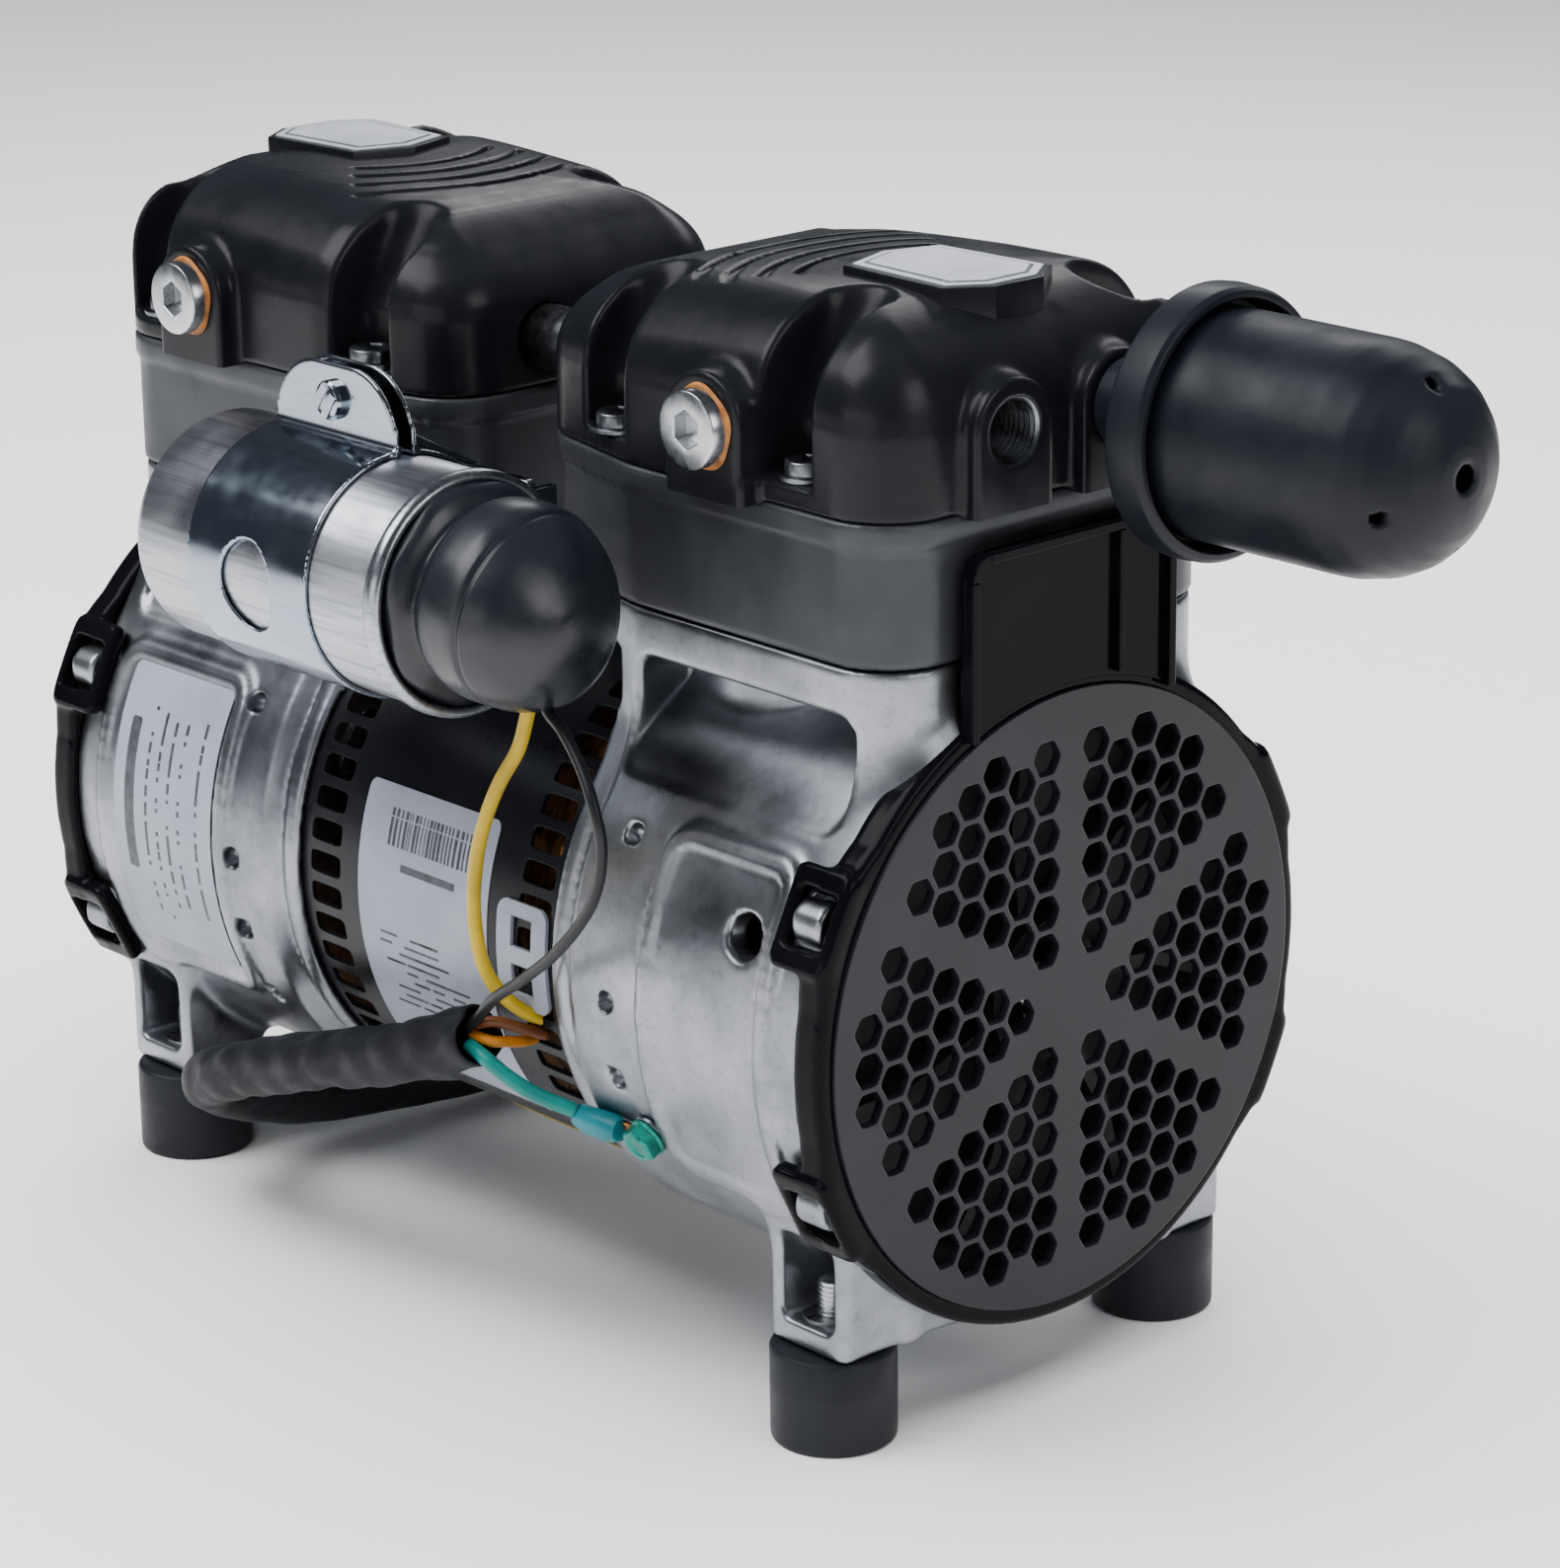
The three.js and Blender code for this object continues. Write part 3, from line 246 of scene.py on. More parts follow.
CAST_GRAIN = (420, 3, 0.7)
DRAWN_STREAKS = (700, 2, 0.75, (0.04, 1, 1))
COPPER_STRANDS = (900, 2, 0.6, (1, 0.15, 0.15))
MATERIALS = {
    "cast_aluminium": painted(
        "cast_aluminium", (0.44, 0.45, 0.475), 0.36,
        ((28, 5, 0.6), [(0.30, (0.15, 0.158, 0.18)), (0.50, (0.28, 0.29, 0.315)),
                        (0.72, (0.42, 0.43, 0.455))]),
        ((60, 4), 0.26, 0.44), [((16, 3), 0.7, 0.5), (CAST_GRAIN, 0.06, 0.6)],
        (0.35, CAST_GRAIN, [(0.34, (0.55,) * 3), (0.46, (1.0,) * 3)]), metallic=1.0),
    "dark_casting": painted(
        "dark_casting", (0.045, 0.048, 0.055), 0.42,
        ((35, 4), [(0.3, (0.030, 0.032, 0.038)), (0.7, (0.058, 0.061, 0.069))]),
        ((90, 3), 0.34, 0.50), [((500, 3, 0.7), 0.03, 0.5)], metallic=0.55),
    "black_paint": painted(
        "black_paint", (0.005, 0.0055, 0.007), 0.30,
        ((40, 3), [(0.3, (0.004, 0.0045, 0.006)), (0.7, (0.008, 0.0085, 0.011))]),
        ((120, 3), 0.24, 0.36), [((620, 2, 0.5), 0.05, 0.5)], specular=0.2),
    "gloss_plastic": painted(
        "gloss_plastic", (0.010, 0.0105, 0.013), 0.22,
        ((30, 2), [(0.3, (0.008, 0.0085, 0.011)), (0.7, (0.014, 0.0145, 0.018))]),
        ((70, 3), 0.18, 0.28), [((1400, 2), 0.01, 0.3)], specular=0.22),
    "duct_gloss": painted(
        "duct_gloss", (0.002, 0.0022, 0.003), 0.12,
        ((30, 2), [(0.3, (0.0015, 0.0017, 0.0025)), (0.7, (0.004, 0.0042, 0.0055))]),
        ((70, 3), 0.10, 0.18), [((26, 2), 0.12, 0.3)], specular=0.06),
    "steel": painted(
        "machined_steel", (0.60, 0.61, 0.62), 0.26,
        ((90, 3), [(0.3, (0.42, 0.43, 0.445)), (0.7, (0.62, 0.63, 0.645))]),
        ((300, 3), 0.2, 0.36), [((700, 2, 0.55, (1, 1, 0.1)), 0.02, 0.4)], metallic=1.0),
    # dark steel of the transfer tubes and head screws; on the port thread the same darkness is painted shade
    # of the hole
    "dark_steel": painted(
        "dark_steel", (0.16, 0.165, 0.175), 0.32,
        ((200, 3), [(0.3, (0.12, 0.125, 0.135)), (0.7, (0.28, 0.29, 0.31))]),
        ((300, 3), 0.24, 0.42), metallic=1.0),
    "zinc": painted(
        "zinc_plate", (0.60, 0.66, 0.72), 0.20,
        ((18, 3), [(0.30, (0.29, 0.35, 0.42)), (0.50, (0.36, 0.40, 0.45)), (0.70, (0.44, 0.44, 0.42))]),
        ((160, 4), 0.09, 0.2), [((60, 3), 0.05, 0.3)],
        (0.6, (900, 2, 0.8, (0.06, 1, 1)), [(0.36, (0.8,) * 3), (0.44, (1.0,) * 3)]), metallic=1.0),
    "can": painted(
        "drawn_aluminium", (0.72, 0.735, 0.75), 0.30,
        (DRAWN_STREAKS, [(0.34, (0.30, 0.315, 0.345)), (0.55, (0.45, 0.465, 0.495))]),
        ((80, 4), 0.24, 0.40), [(DRAWN_STREAKS, 0.015, 0.5), ((40, 3), 0.12, 0.3)], metallic=1.0),
    "sleeving": painted(
        "sleeving", (0.018, 0.019, 0.023), 0.55,
        ((60, 4), [(0.3, (0.003, 0.0035, 0.005)), (0.75, (0.009, 0.010, 0.014))]),
        ((200, 3), 0.46, 0.66), [((110, 4), 0.35, 0.5), ((1500,), 0.03, 0.4)], specular=0.2),
    "copper": painted(
        "winding_copper", (0.50, 0.20, 0.07), 0.36,
        (COPPER_STRANDS, [(0.35, (0.20, 0.07, 0.02)), (0.6, (0.62, 0.28, 0.10))]),
        bumps=[(COPPER_STRANDS, 0.2, 0.8)], metallic=0.9),
    "label": painted(
        "label_film", (0.72, 0.73, 0.76), 0.34,
        ((50, 3), [(0.3, (0.25, 0.27, 0.33)), (0.7, (0.33, 0.355, 0.42))]),
        ((90, 3), 0.28, 0.42), [((60, 2), 0.05, 0.3)]),
    "ink": painted(
        "label_ink", (0.03, 0.035, 0.05), 0.45,
        ((400, 2), [(0.3, (0.02, 0.022, 0.03)), (0.7, (0.06, 0.065, 0.08))])),
    "badge": painted(
        "badge_silver", (0.60, 0.62, 0.66), 0.34,
        ((80, 3), [(0.3, (0.36, 0.38, 0.42)), (0.7, (0.50, 0.52, 0.57))]),
        bumps=[((800, 2), 0.02, 0.3)], metallic=0.35),
    "sealant": painted(
        "sealant", (0.36, 0.12, 0.02), 0.5,
        ((300, 3), [(0.3, (0.20, 0.06, 0.01)), (0.7, (0.46, 0.18, 0.04))]), bumps=[((500, 3), 0.15, 0.7)]),
    "green_zinc": painted(
        "green_zinc", (0.0, 0.22, 0.17), 0.30,
        ((260, 3), [(0.3, (0.0, 0.13, 0.10)), (0.65, (0.01, 0.30, 0.23))]),
        ((300, 3), 0.22, 0.42), metallic=0.6),
    "cup": painted(
        "cup_polymer", (0.07, 0.05, 0.035), 0.55,
        ((200, 3), [(0.3, (0.05, 0.035, 0.025)), (0.7, (0.10, 0.075, 0.05))])),
    "foot_rubber": moulded_rubber("foot_rubber", (0.007, 0.008, 0.011), 0.46),
    "boot_rubber": moulded_rubber("boot_rubber", (0.005, 0.006, 0.009), 0.30, 0.5),
    "muffler_plastic": moulded_rubber("muffler_plastic", (0.004, 0.005, 0.008), 0.40),
    "fan_plastic": moulded_rubber("fan_plastic", (0.010, 0.011, 0.013), 0.45),
    "yellow": insulation("yellow_insulation", (0.56, 0.37, 0.008)),
    "black_wire": insulation("black_insulation", (0.006, 0.0065, 0.008)),
    "orange": insulation("orange_insulation", (0.52, 0.18, 0.008)),
    "brown": insulation("brown_insulation", (0.13, 0.04, 0.012)),
    "green": insulation("green_insulation", (0.0, 0.22, 0.19)),
    "shrink": insulation("shrink_tube", (0.0, 0.20, 0.24)),
}


# ------------------------------------------------------------------ solid fields and their meshes
class Field:
    """A signed distance field on a regular grid, in design millimetres; negative inside."""

    def __init__(self, low, high, step):
        self.low, self.step = np.array(low, dtype=float), step
        counts = [int(math.ceil((b - a) / step)) + 1 for a, b in zip(low, high)]
        axes = [np.float32(a + step * np.arange(n)) for a, n in zip(low, counts)]
        self.x, self.y, self.z = axes[0][:, None, None], axes[1][None, :, None], axes[2][None, None, :]
        self.values = None

    def box(self, x, y, z, radius=0.0):
        """Box between two values on each axis, with edges rounded to radius."""
        q = [np.abs(c - (v[0] + v[1]) / 2) - ((v[1] - v[0]) / 2 - radius)
             for c, v in ((self.x, x), (self.y, y), (self.z, z))]
        outside = np.sqrt(np.maximum(q[0], 0) ** 2 + np.maximum(q[1], 0) ** 2 + np.maximum(q[2], 0) ** 2)
        return outside + np.minimum(np.maximum(np.maximum(q[0], q[1]), q[2]), 0) - radius

    def cylinder(self, axis, centre, radius, start, end):
        """Cylinder along an axis ("x", "y" or "z")."""
        across = {"x": (self.y, self.z), "y": (self.x, self.z), "z": (self.x, self.y)}[axis]
        along = getattr(self, axis)
        side = np.sqrt((across[0] - centre[0]) ** 2 + (across[1] - centre[1]) ** 2) - radius
        return rounded_meet(side, np.abs(along - (start + end) / 2) - (end - start) / 2, 0.0)


def rounded_meet(a, b, radius):
    """Intersection of two fields with a rounded edge."""
    a, b = a + radius, b + radius
    return np.sqrt(np.maximum(a, 0) ** 2 + np.maximum(b, 0) ** 2) + np.minimum(np.maximum(a, b), 0) - radius


def joined(a, b, fillet=0.0):
    """Union of two fields with a fillet."""
    if fillet <= 0:
        return np.minimum(a, b)
    blend = np.maximum(fillet - np.abs(a - b), 0) / fillet
    return np.minimum(a, b) - blend * blend * fillet / 4


def carved(a, b, round_off=0.0):
    """Field a with b cut out of it, the cut's edge rounded off."""
    return -joined(-a, b, round_off)


def outline_distance(x, y, corners, radius):
    """2-D distance to a convex polygon whose corners are rounded to radius."""
    inner = inset_polygon(corners, radius)
    distance = np.full(np.broadcast(x, y).shape, np.inf, dtype=np.float32)
    inside = np.ones_like(distance, dtype=bool)
    for (ax, ay), (bx, by) in zip(inner, inner[1:] + inner[:1]):
        ex, ey = bx - ax, by - ay
        t = np.clip(((x - ax) * ex + (y - ay) * ey) / (ex * ex + ey * ey), 0, 1)
        distance = np.minimum(distance, np.hypot(x - ax - t * ex, y - ay - t * ey))
        inside &= (ex * (y - ay) - ey * (x - ax)) >= 0
    return np.where(inside, -distance, distance) - radius


def inset_polygon(corners, inset):
    """A counter-clockwise convex polygon moved inwards."""
    moved = []
    for before, here, after in zip(corners[-1:] + corners[:-1], corners, corners[1:] + corners[:1]):
        a = (Vector(here) - Vector(before)).normalized()
        b = (Vector(after) - Vector(here)).normalized()
        normal_a, normal_b = Vector((-a.y, a.x)), Vector((-b.y, b.x))
        corner = Vector(here) + (normal_a + normal_b) * inset / (1 + normal_a.dot(normal_b))
        moved.append((corner.x, corner.y))
    return moved


CUBE = [(i, j, k) for i in (0, 1) for j in (0, 1) for k in (0, 1)]
CUBE_EDGES = [(a, b) for a in range(8) for b in range(a + 1, 8)
              if sum(u != v for u, v in zip(CUBE[a], CUBE[b])) == 1]


SMOOTHING_ROUNDS, PULL, PUSH = 3, 0.5, -0.52


def relaxed(vertices, quads):
    """Evens out the grid's stepping; a push back follows each pull to the neighbours, against shrinking."""
    ends = np.concatenate([np.stack([quads[:, i], quads[:, i - 1]]) for i in range(4)], axis=1)
    count = np.bincount(ends[0], minlength=len(vertices)) + np.bincount(ends[1], minlength=len(vertices))
    for strength in (PULL, PUSH) * SMOOTHING_ROUNDS:
        mean = np.empty_like(vertices)
        for k in range(3):
            mean[:, k] = (np.bincount(ends[0], vertices[ends[1], k], len(vertices))
                          + np.bincount(ends[1], vertices[ends[0], k], len(vertices)))
        vertices = vertices + strength * (mean / count[:, None] - vertices)
    return vertices


def surface_of(field):
    """Vertices and quads of a field's zero surface, by surface nets."""
    values = field.values
    shape = np.array(values.shape) - 1
    inside = values < 0
    corner = [values[i:i + shape[0], j:j + shape[1], k:k + shape[2]] for i, j, k in CUBE]
    count = sum((c < 0).astype(np.int8) for c in corner)
    cells = np.argwhere((count > 0) & (count < 8))
    at = tuple(cells.T)
    samples = [c[at] for c in corner]
    total = np.zeros((len(cells), 3))
    crossings = np.zeros(len(cells))
    for a, b in CUBE_EDGES:
        crossed = (samples[a] < 0) != (samples[b] < 0)
        t = np.where(crossed, samples[a] / np.where(crossed, samples[a] - samples[b], 1), 0)[:, None]
        point = np.array(CUBE[a]) * (1 - t) + np.array(CUBE[b]) * t
        total += point * crossed[:, None]
        crossings += crossed
    vertices = (cells + total / crossings[:, None]) * field.step + field.low
    number = np.full(tuple(shape), -1, dtype=np.int64)
    number[at] = np.arange(len(cells))
    quads = []
    for axis in range(3):
        u, v = (axis + 1) % 3, (axis + 2) % 3
        first = [slice(1, -1)] * 3
        first[axis] = slice(0, -1)
        second = [slice(1, -1)] * 3
        second[axis] = slice(1, None)
        low_in, high_in = inside[tuple(first)], inside[tuple(second)]
        for wanted, order in ((low_in & ~high_in, (0, 1, 2, 3)), (~low_in & high_in, (3, 2, 1, 0))):
            base = np.argwhere(wanted) + 1
            base[:, axis] -= 1
            ring = []
            for du, dv in ((-1, -1), (0, -1), (0, 0), (-1, 0)):
                cell = base.copy()
                cell[:, u] += du
                cell[:, v] += dv
                ring.append(number[tuple(cell.T)])
            quads.append(np.stack([ring[i] for i in order], axis=1))
    quads = np.concatenate(quads)
    return relaxed(vertices, quads), quads


# ------------------------------------------------------------------ pieces
BODY = "pump_body"
HALF_TURN = np.array([-1, -1, 1])       # the rear end is the front end turned half round about Z


def make_piece(name, vertices, faces, material, body=BODY, stands_for=(), slot=None):
    """A mesh object from design millimetres, riding on a body."""
    mesh = bpy.data.meshes.new(name)
    points = to_row(vertices)
    if isinstance(faces, np.ndarray):
        mesh.vertices.add(len(points))
        mesh.vertices.foreach_set("co", points.ravel())
        mesh.loops.add(faces.size)
        mesh.loops.foreach_set("vertex_index", faces.ravel())
        mesh.polygons.add(len(faces))
        mesh.polygons.foreach_set("loop_start", np.arange(len(faces)) * faces.shape[1])
        mesh.update(calc_edges=True)
    else:
        mesh.from_pydata([tuple(p) for p in points], [], faces)
    mesh.validate()
    mesh.polygons.foreach_set("use_smooth", [True] * len(mesh.polygons))
    mesh.materials.append(MATERIALS[material])
    piece = bpy.data.objects.new(name, mesh)
    bpy.context.scene.collection.objects.link(piece)
    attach(piece, body)
    if stands_for:
        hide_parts(stands_for)
    return piece


def make_pair(name, field, material, slot, stands_for=None):
    """The field's surface as the front piece and, turned half round, as the rear one."""
    vertices, faces = surface_of(field)
    for end, points in ((FRONT, vertices), (REAR, vertices * HALF_TURN)):
        node = f"{end}_{stands_for}" if stands_for else ()
        make_piece(f"{end}_{name}", points, faces, material, stands_for=node, slot=slot)


def weld(piece, closed=False):
    """Joins points that coincide, closes open ends if asked, and turns the faces outwards."""
    work = bmesh.new()
    work.from_mesh(piece.data)
    bmesh.ops.remove_doubles(work, verts=work.verts, dist=1e-6)
    if closed:
        bmesh.ops.holes_fill(work, edges=[e for e in work.edges if e.is_boundary], sides=0)
    bmesh.ops.recalc_face_normals(work, faces=work.faces)
    for face in work.faces:
        face.smooth = True
    work.to_mesh(piece.data)
    work.free()


def turned(profile, segments=64, axis="x", centre=(0, 0)):
    """Vertices and quads of a closed [radius, along] profile turned about an axis through centre."""
    angles = 2 * math.pi * np.arange(segments) / segments
    shift = {"x": 1, "y": 2, "z": 0}[axis]
    rings = []
    for radius, along in profile:
        ring = [centre[0] + radius * np.cos(angles), centre[1] + radius * np.sin(angles),
                np.full(segments, float(along))]
        rings.append(np.roll(np.stack(ring, 1), shift, axis=1))
    return lofted(rings, False, False)


def turned_piece(name, profile, material, segments, axis, centre, bevel=0.0, **rest):
    """A turned solid; profile ends on the axis are closed, and its edges are rounded by bevel millimetres."""
    piece = make_piece(name, *turned(profile, segments, axis, centre), material, **rest)
    weld(piece, closed=True)
    soften(piece, bevel)


def soften(piece, bevel):
    """Rounds a piece's sharp edges and keeps its flat faces flat-shaded."""
    if bevel > 0:
        rounder = piece.modifiers.new("edges", "BEVEL")
        rounder.width = bevel * MM
        rounder.segments = 2
        rounder.limit_method = "ANGLE"
        rounder.angle_limit = math.radians(30)
        rounder.harden_normals = True


# ------------------------------------------------------------------ outlines shared by deck, block and head
HEAD_CORNERS = [(13, 38), (13, -38), (50, -46.5), (124.7, -47.5), (124.7, 47.5), (50, 46.5)]
HEAD_RADIUS = 15.0


def head_outline(field, inset):
    corners = inset_polygon(HEAD_CORNERS, inset)
    return outline_distance(field.x, field.y, corners, HEAD_RADIUS - min(inset, 11))


def shaft_radius(field):
    return np.hypot(field.y, field.z - SHAFT_Z)


def round_shaft(angle, radius):
    """(y, z) of a point at an angle round the shaft, from +Y towards +Z."""
    return radius * math.cos(math.radians(angle)), SHAFT_Z + radius * math.sin(math.radians(angle))


# ------------------------------------------------------------------ crankcases
NECK_WINDOW = {"x": (51.5, 113.5), "z": (128.7, 151.3), "depth": 18.0}
LEG = {"x": (97.6, 119.8), "y": (33.4, 55.1), "low": 20.5, "top": 66}
WEB_TOP, WEB_THICK = 46, 5.8                               # of the web between an end's two legs
POCKET = {"x": 108.9, "half_x": 7.5, "z": 35.5, "half_z": 9.5, "depth": 38}
# x and radius along the flange ring, the groove and the drum
DRUM_PROFILE = [(41, 61.8), (42.3, 62.9), (43.3, 63.7), (46.6, 63.7), (47.3, 62.9), (48.3, 62.9),
                (49.0, 63.9), (51.5, DRUM_RADIUS), (130, DRUM_RADIUS)]
DRUM_MIDDLE = 83.75
PANEL_RISE, PANEL_BORDER, PANEL_STEP = 1.6, 3.6, 0.5
PANEL = {"right_x": (73, 111), "left_x": (64, 111), "z": (50, 124)}
PIT = {"angles": (150, 180.6, 195.7, 30, -0.6, -15.7, -32), "x": 62.2, "reach": 64.9, "radius": 2.3}
AIR_HOLE = {"angles": range(30, 360, 60), "reach": 40, "radius": 9}
MAIN_BEARING_BORE, FOOT_STUD_BORE = 17.4, 3.6
BARREL_RADIUS = 35.6
LUG = {"x": 119.2, "half": 4.0, "radius": 4.8}             # on the drum, under the fan cover's clips
DRAIN = {"at": (100.7, 108), "radius": 4.5}                # hole in the drum's right side


def drum_field(field):
    """Flange ring, groove and drum as a solid of revolution, with the raised side panels."""
    profile_x, profile_r = zip(*DRUM_PROFILE)
    radius = shaft_radius(field)
    drum = rounded_meet(radius - np.interp(field.x, profile_x, profile_r).astype(np.float32),
                        np.abs(field.x - DRUM_MIDDLE) - (DRUM_END - DRUM_MIDDLE), 0.8)
    right, left = (field.box(x, (-90, 90), PANEL["z"], 7) for x in (PANEL["right_x"], PANEL["left_x"]))
    panel = np.minimum(np.maximum(right, 38 + field.y), np.maximum(left, 38 - field.y))
    border = np.maximum(np.maximum(panel, radius - DRUM_RADIUS - PANEL_RISE), 60 - radius)
    recess = np.maximum(panel + PANEL_BORDER, DRUM_RADIUS + PANEL_STEP - radius)
    return joined(drum, carved(border, recess, 1.2), 2.0)


def leg_field(field):
    """Two legs with the cross web between them, and the pockets in their outer sides."""
    side = np.abs(field.y)
    x, y, low, top = LEG["x"], LEG["y"], LEG["low"], LEG["top"]
    box_x = np.abs(field.x - sum(x) / 2) - (x[1] - x[0]) / 2
    box_y = np.abs(side - sum(y) / 2) - (y[1] - y[0]) / 2
    box_z = np.abs(field.z - (low + top) / 2) - (top - low) / 2
    leg = rounded_meet(rounded_meet(box_x, box_y, 2.5), box_z, 1.5)
    web = field.box((x[1] - WEB_THICK, x[1]), (-y[0] - 5, y[0] + 5), (low, WEB_TOP), 1.2)
    hollow_x = np.abs(field.x - POCKET["x"]) - POCKET["half_x"]
    hollow_z = np.abs(field.z - POCKET["z"]) - POCKET["half_z"]
    hollow = rounded_meet(rounded_meet(hollow_x, hollow_z, 2.5), POCKET["depth"] - side, 1.5)
    return joined(leg, web, 3), hollow


def neck_field(field):
    """The neck from the drum up to the deck, and its windows at both sides."""
    window = NECK_WINDOW
    outline = head_outline(field, 1.0)
    low_part = np.maximum(44 - field.x, 95 - field.z)
    flange = window["z"][1] - field.z
    neck = rounded_meet(np.maximum(outline, np.minimum(low_part, flange)), field.z - DECK_Z, 0.7)
    (x0, x1), (z0, z1) = window["x"], window["z"]
    opening_x = np.abs(field.x - (x0 + x1) / 2) - (x1 - x0) / 2
    opening_z = np.abs(field.z - (z0 + z1) / 2) - (z1 - z0) / 2
    return neck, np.maximum(rounded_meet(opening_x, opening_z, 4.0), window["depth"] - np.abs(field.y))


def make_crankcases():
    field = Field((41, -71, 18), (127, 71, 163), 0.85)
    neck, window = neck_field(field)
    legs, hollow = leg_field(field)
    radius = shaft_radius(field)
    body = joined(drum_field(field), neck, 9.0)
    body = joined(body, legs, 7.0)
    body = carved(body, np.maximum(window, DRUM_RADIUS - radius), 1.6)
    body = carved(body, np.maximum(hollow, DRUM_RADIUS + 0.3 - radius), 1.6)
    barrel = np.maximum(field.cylinder("z", (CYLINDER_X, 0), BARREL_RADIUS, 120, 156), 51 - field.x)
    body = joined(body, barrel, 3.0)
    for angle in CLIP_ANGLES:
        y, z = round_shaft(angle, DRUM_RADIUS)
        lug = np.hypot(field.y - y, field.z - z) - LUG["radius"]
        lug = np.maximum(lug, np.abs(field.x - LUG["x"]) - LUG["half"])
        body = joined(body, lug, 1.0)
    body = carved(body, np.maximum(radius - DRUM_HOLLOW, 60 - field.x))
    body = carved(body, np.maximum(radius - SHELL_RADIUS - 0.15, field.x - SHELL_HALF - 0.2))
    body = carved(body, radius - MAIN_BEARING_BORE + 0 * field.x)
    for angle in AIR_HOLE["angles"]:
        hole = field.cylinder("x", round_shaft(angle, AIR_HOLE["reach"]), AIR_HOLE["radius"], 40, 65)
        body = carved(body, hole)
    body = carved(body, field.cylinder("z", (CYLINDER_X, 0), BORE_RADIUS, 122, 170))
    body = carved(body, field.cylinder("y", DRAIN["at"], DRAIN["radius"], -80, -50), 0.9)
    for angle in PIT["angles"]:
        y, z = round_shaft(angle, PIT["reach"])
        pit = np.sqrt((field.x - PIT["x"]) ** 2 + (field.y - y) ** 2 + (field.z - z) ** 2) - PIT["radius"]
        body = carved(body, pit, 0.4)
    for y in (-FOOT["y"], FOOT["y"]):
        body = carved(body, field.cylinder("z", (FOOT["x"], y), FOOT_STUD_BORE, 15, 30))
    field.values = body
    make_pair("crankcase_casting", field, "cast_aluminium", "cast_aluminium", "crankcase")


# ------------------------------------------------------------------ cylinder blocks and heads
def make_blocks():
    field = Field((11, -49.5, 160.4), (127, 49.5, 191.4), 0.9)
    side = head_outline(field, 0.6)
    ledge = np.maximum(head_outline(field, -0.1), np.abs(field.z - 187.9) - 2.2)
    block = joined(rounded_meet(side, np.abs(field.z - 175.8) - 14.4, 0.8), ledge, 1.5)
    field.values = carved(block, field.cylinder("z", (CYLINDER_X, 0), BORE_RADIUS, 150, 200))
    make_pair("cylinder_casting", field, "dark_casting", "dark_casting", "cylinder_block")


# height and inset of the roof's edge
SHOULDER = [(190, 0), (205, 0), (208.5, 0.2), (212.5, 0.8), (217.0, 2.5), (220.6, 5.0), (223.6, 8.2),
            (225.8, 11.8), (227.6, 16.5), (228.7, 22), (229.4, 30), (229.8, 42)]
# x and the fall of the roof there
ROOF_DROP = [(13, 5.5), (30, 3.4), (50, 1.6), (75, 0.3), (90, 0.0), (125, 0.0)]
HEAD_SCREWS = {-1: (41.2, 96.3), 1: (38.7, 110.0)}        # side: x of its two slots
SLOT_HALF = 7.4
HEAD_WALL, HEAD_CAVITY_TOP = 4.5, 221
PORT_RADIUS, SIDE_PORT_RADIUS = 6.7, 5.5
PORT_BOSS, SIDE_BOSS = 10.5, 11            # half widths of the arched bosses
TUBE_SEAT = {"y": (-14, 14), "z": 201, "radius": 7.1}
GROOVES = (30, 37, 44, 51)                 # radii of the arcs in the roof, round the badge
BADGE_AT = (97.0, -3.0)


def slot_field(field):
    """The arched slots cut down each side of the head to its screws."""
    slots = np.float32(1e3)
    for side, places in HEAD_SCREWS.items():
        depth = side * field.y
        back = 33 - 0.55 * np.maximum(field.z - 205, 0)
        for x in places:
            arch = np.hypot(field.x - x, np.maximum(back + 0 * field.x + SLOT_HALF - depth, 0)) - SLOT_HALF
            slots = np.minimum(slots, np.maximum(arch, 195 - field.z))
    return slots


def boss_field(field):
    """Arched bosses round the two side ports and the two end ports."""
    def arched(u, centre, z, half):
        return np.hypot(u - centre, np.maximum(field.z - z, 0)) - half
    bosses = np.float32(1e3)
    for side, x in ((-1, SIDE_PORT["right_x"]), (1, SIDE_PORT["left_x"])):
        arch = arched(field.x, x, SIDE_PORT["z"], SIDE_BOSS)
        boss = rounded_meet(arch, np.abs(side * field.y - 44) - 8, 0.9)
        bosses = np.minimum(bosses, boss)
    for place in (PORT, MUFFLER):
        arch = arched(field.y, place["y"], place["z"], PORT_BOSS)
        boss = rounded_meet(arch, np.abs(field.x - 122) - 6.6, 0.9)
        bosses = np.minimum(bosses, boss)
    return bosses


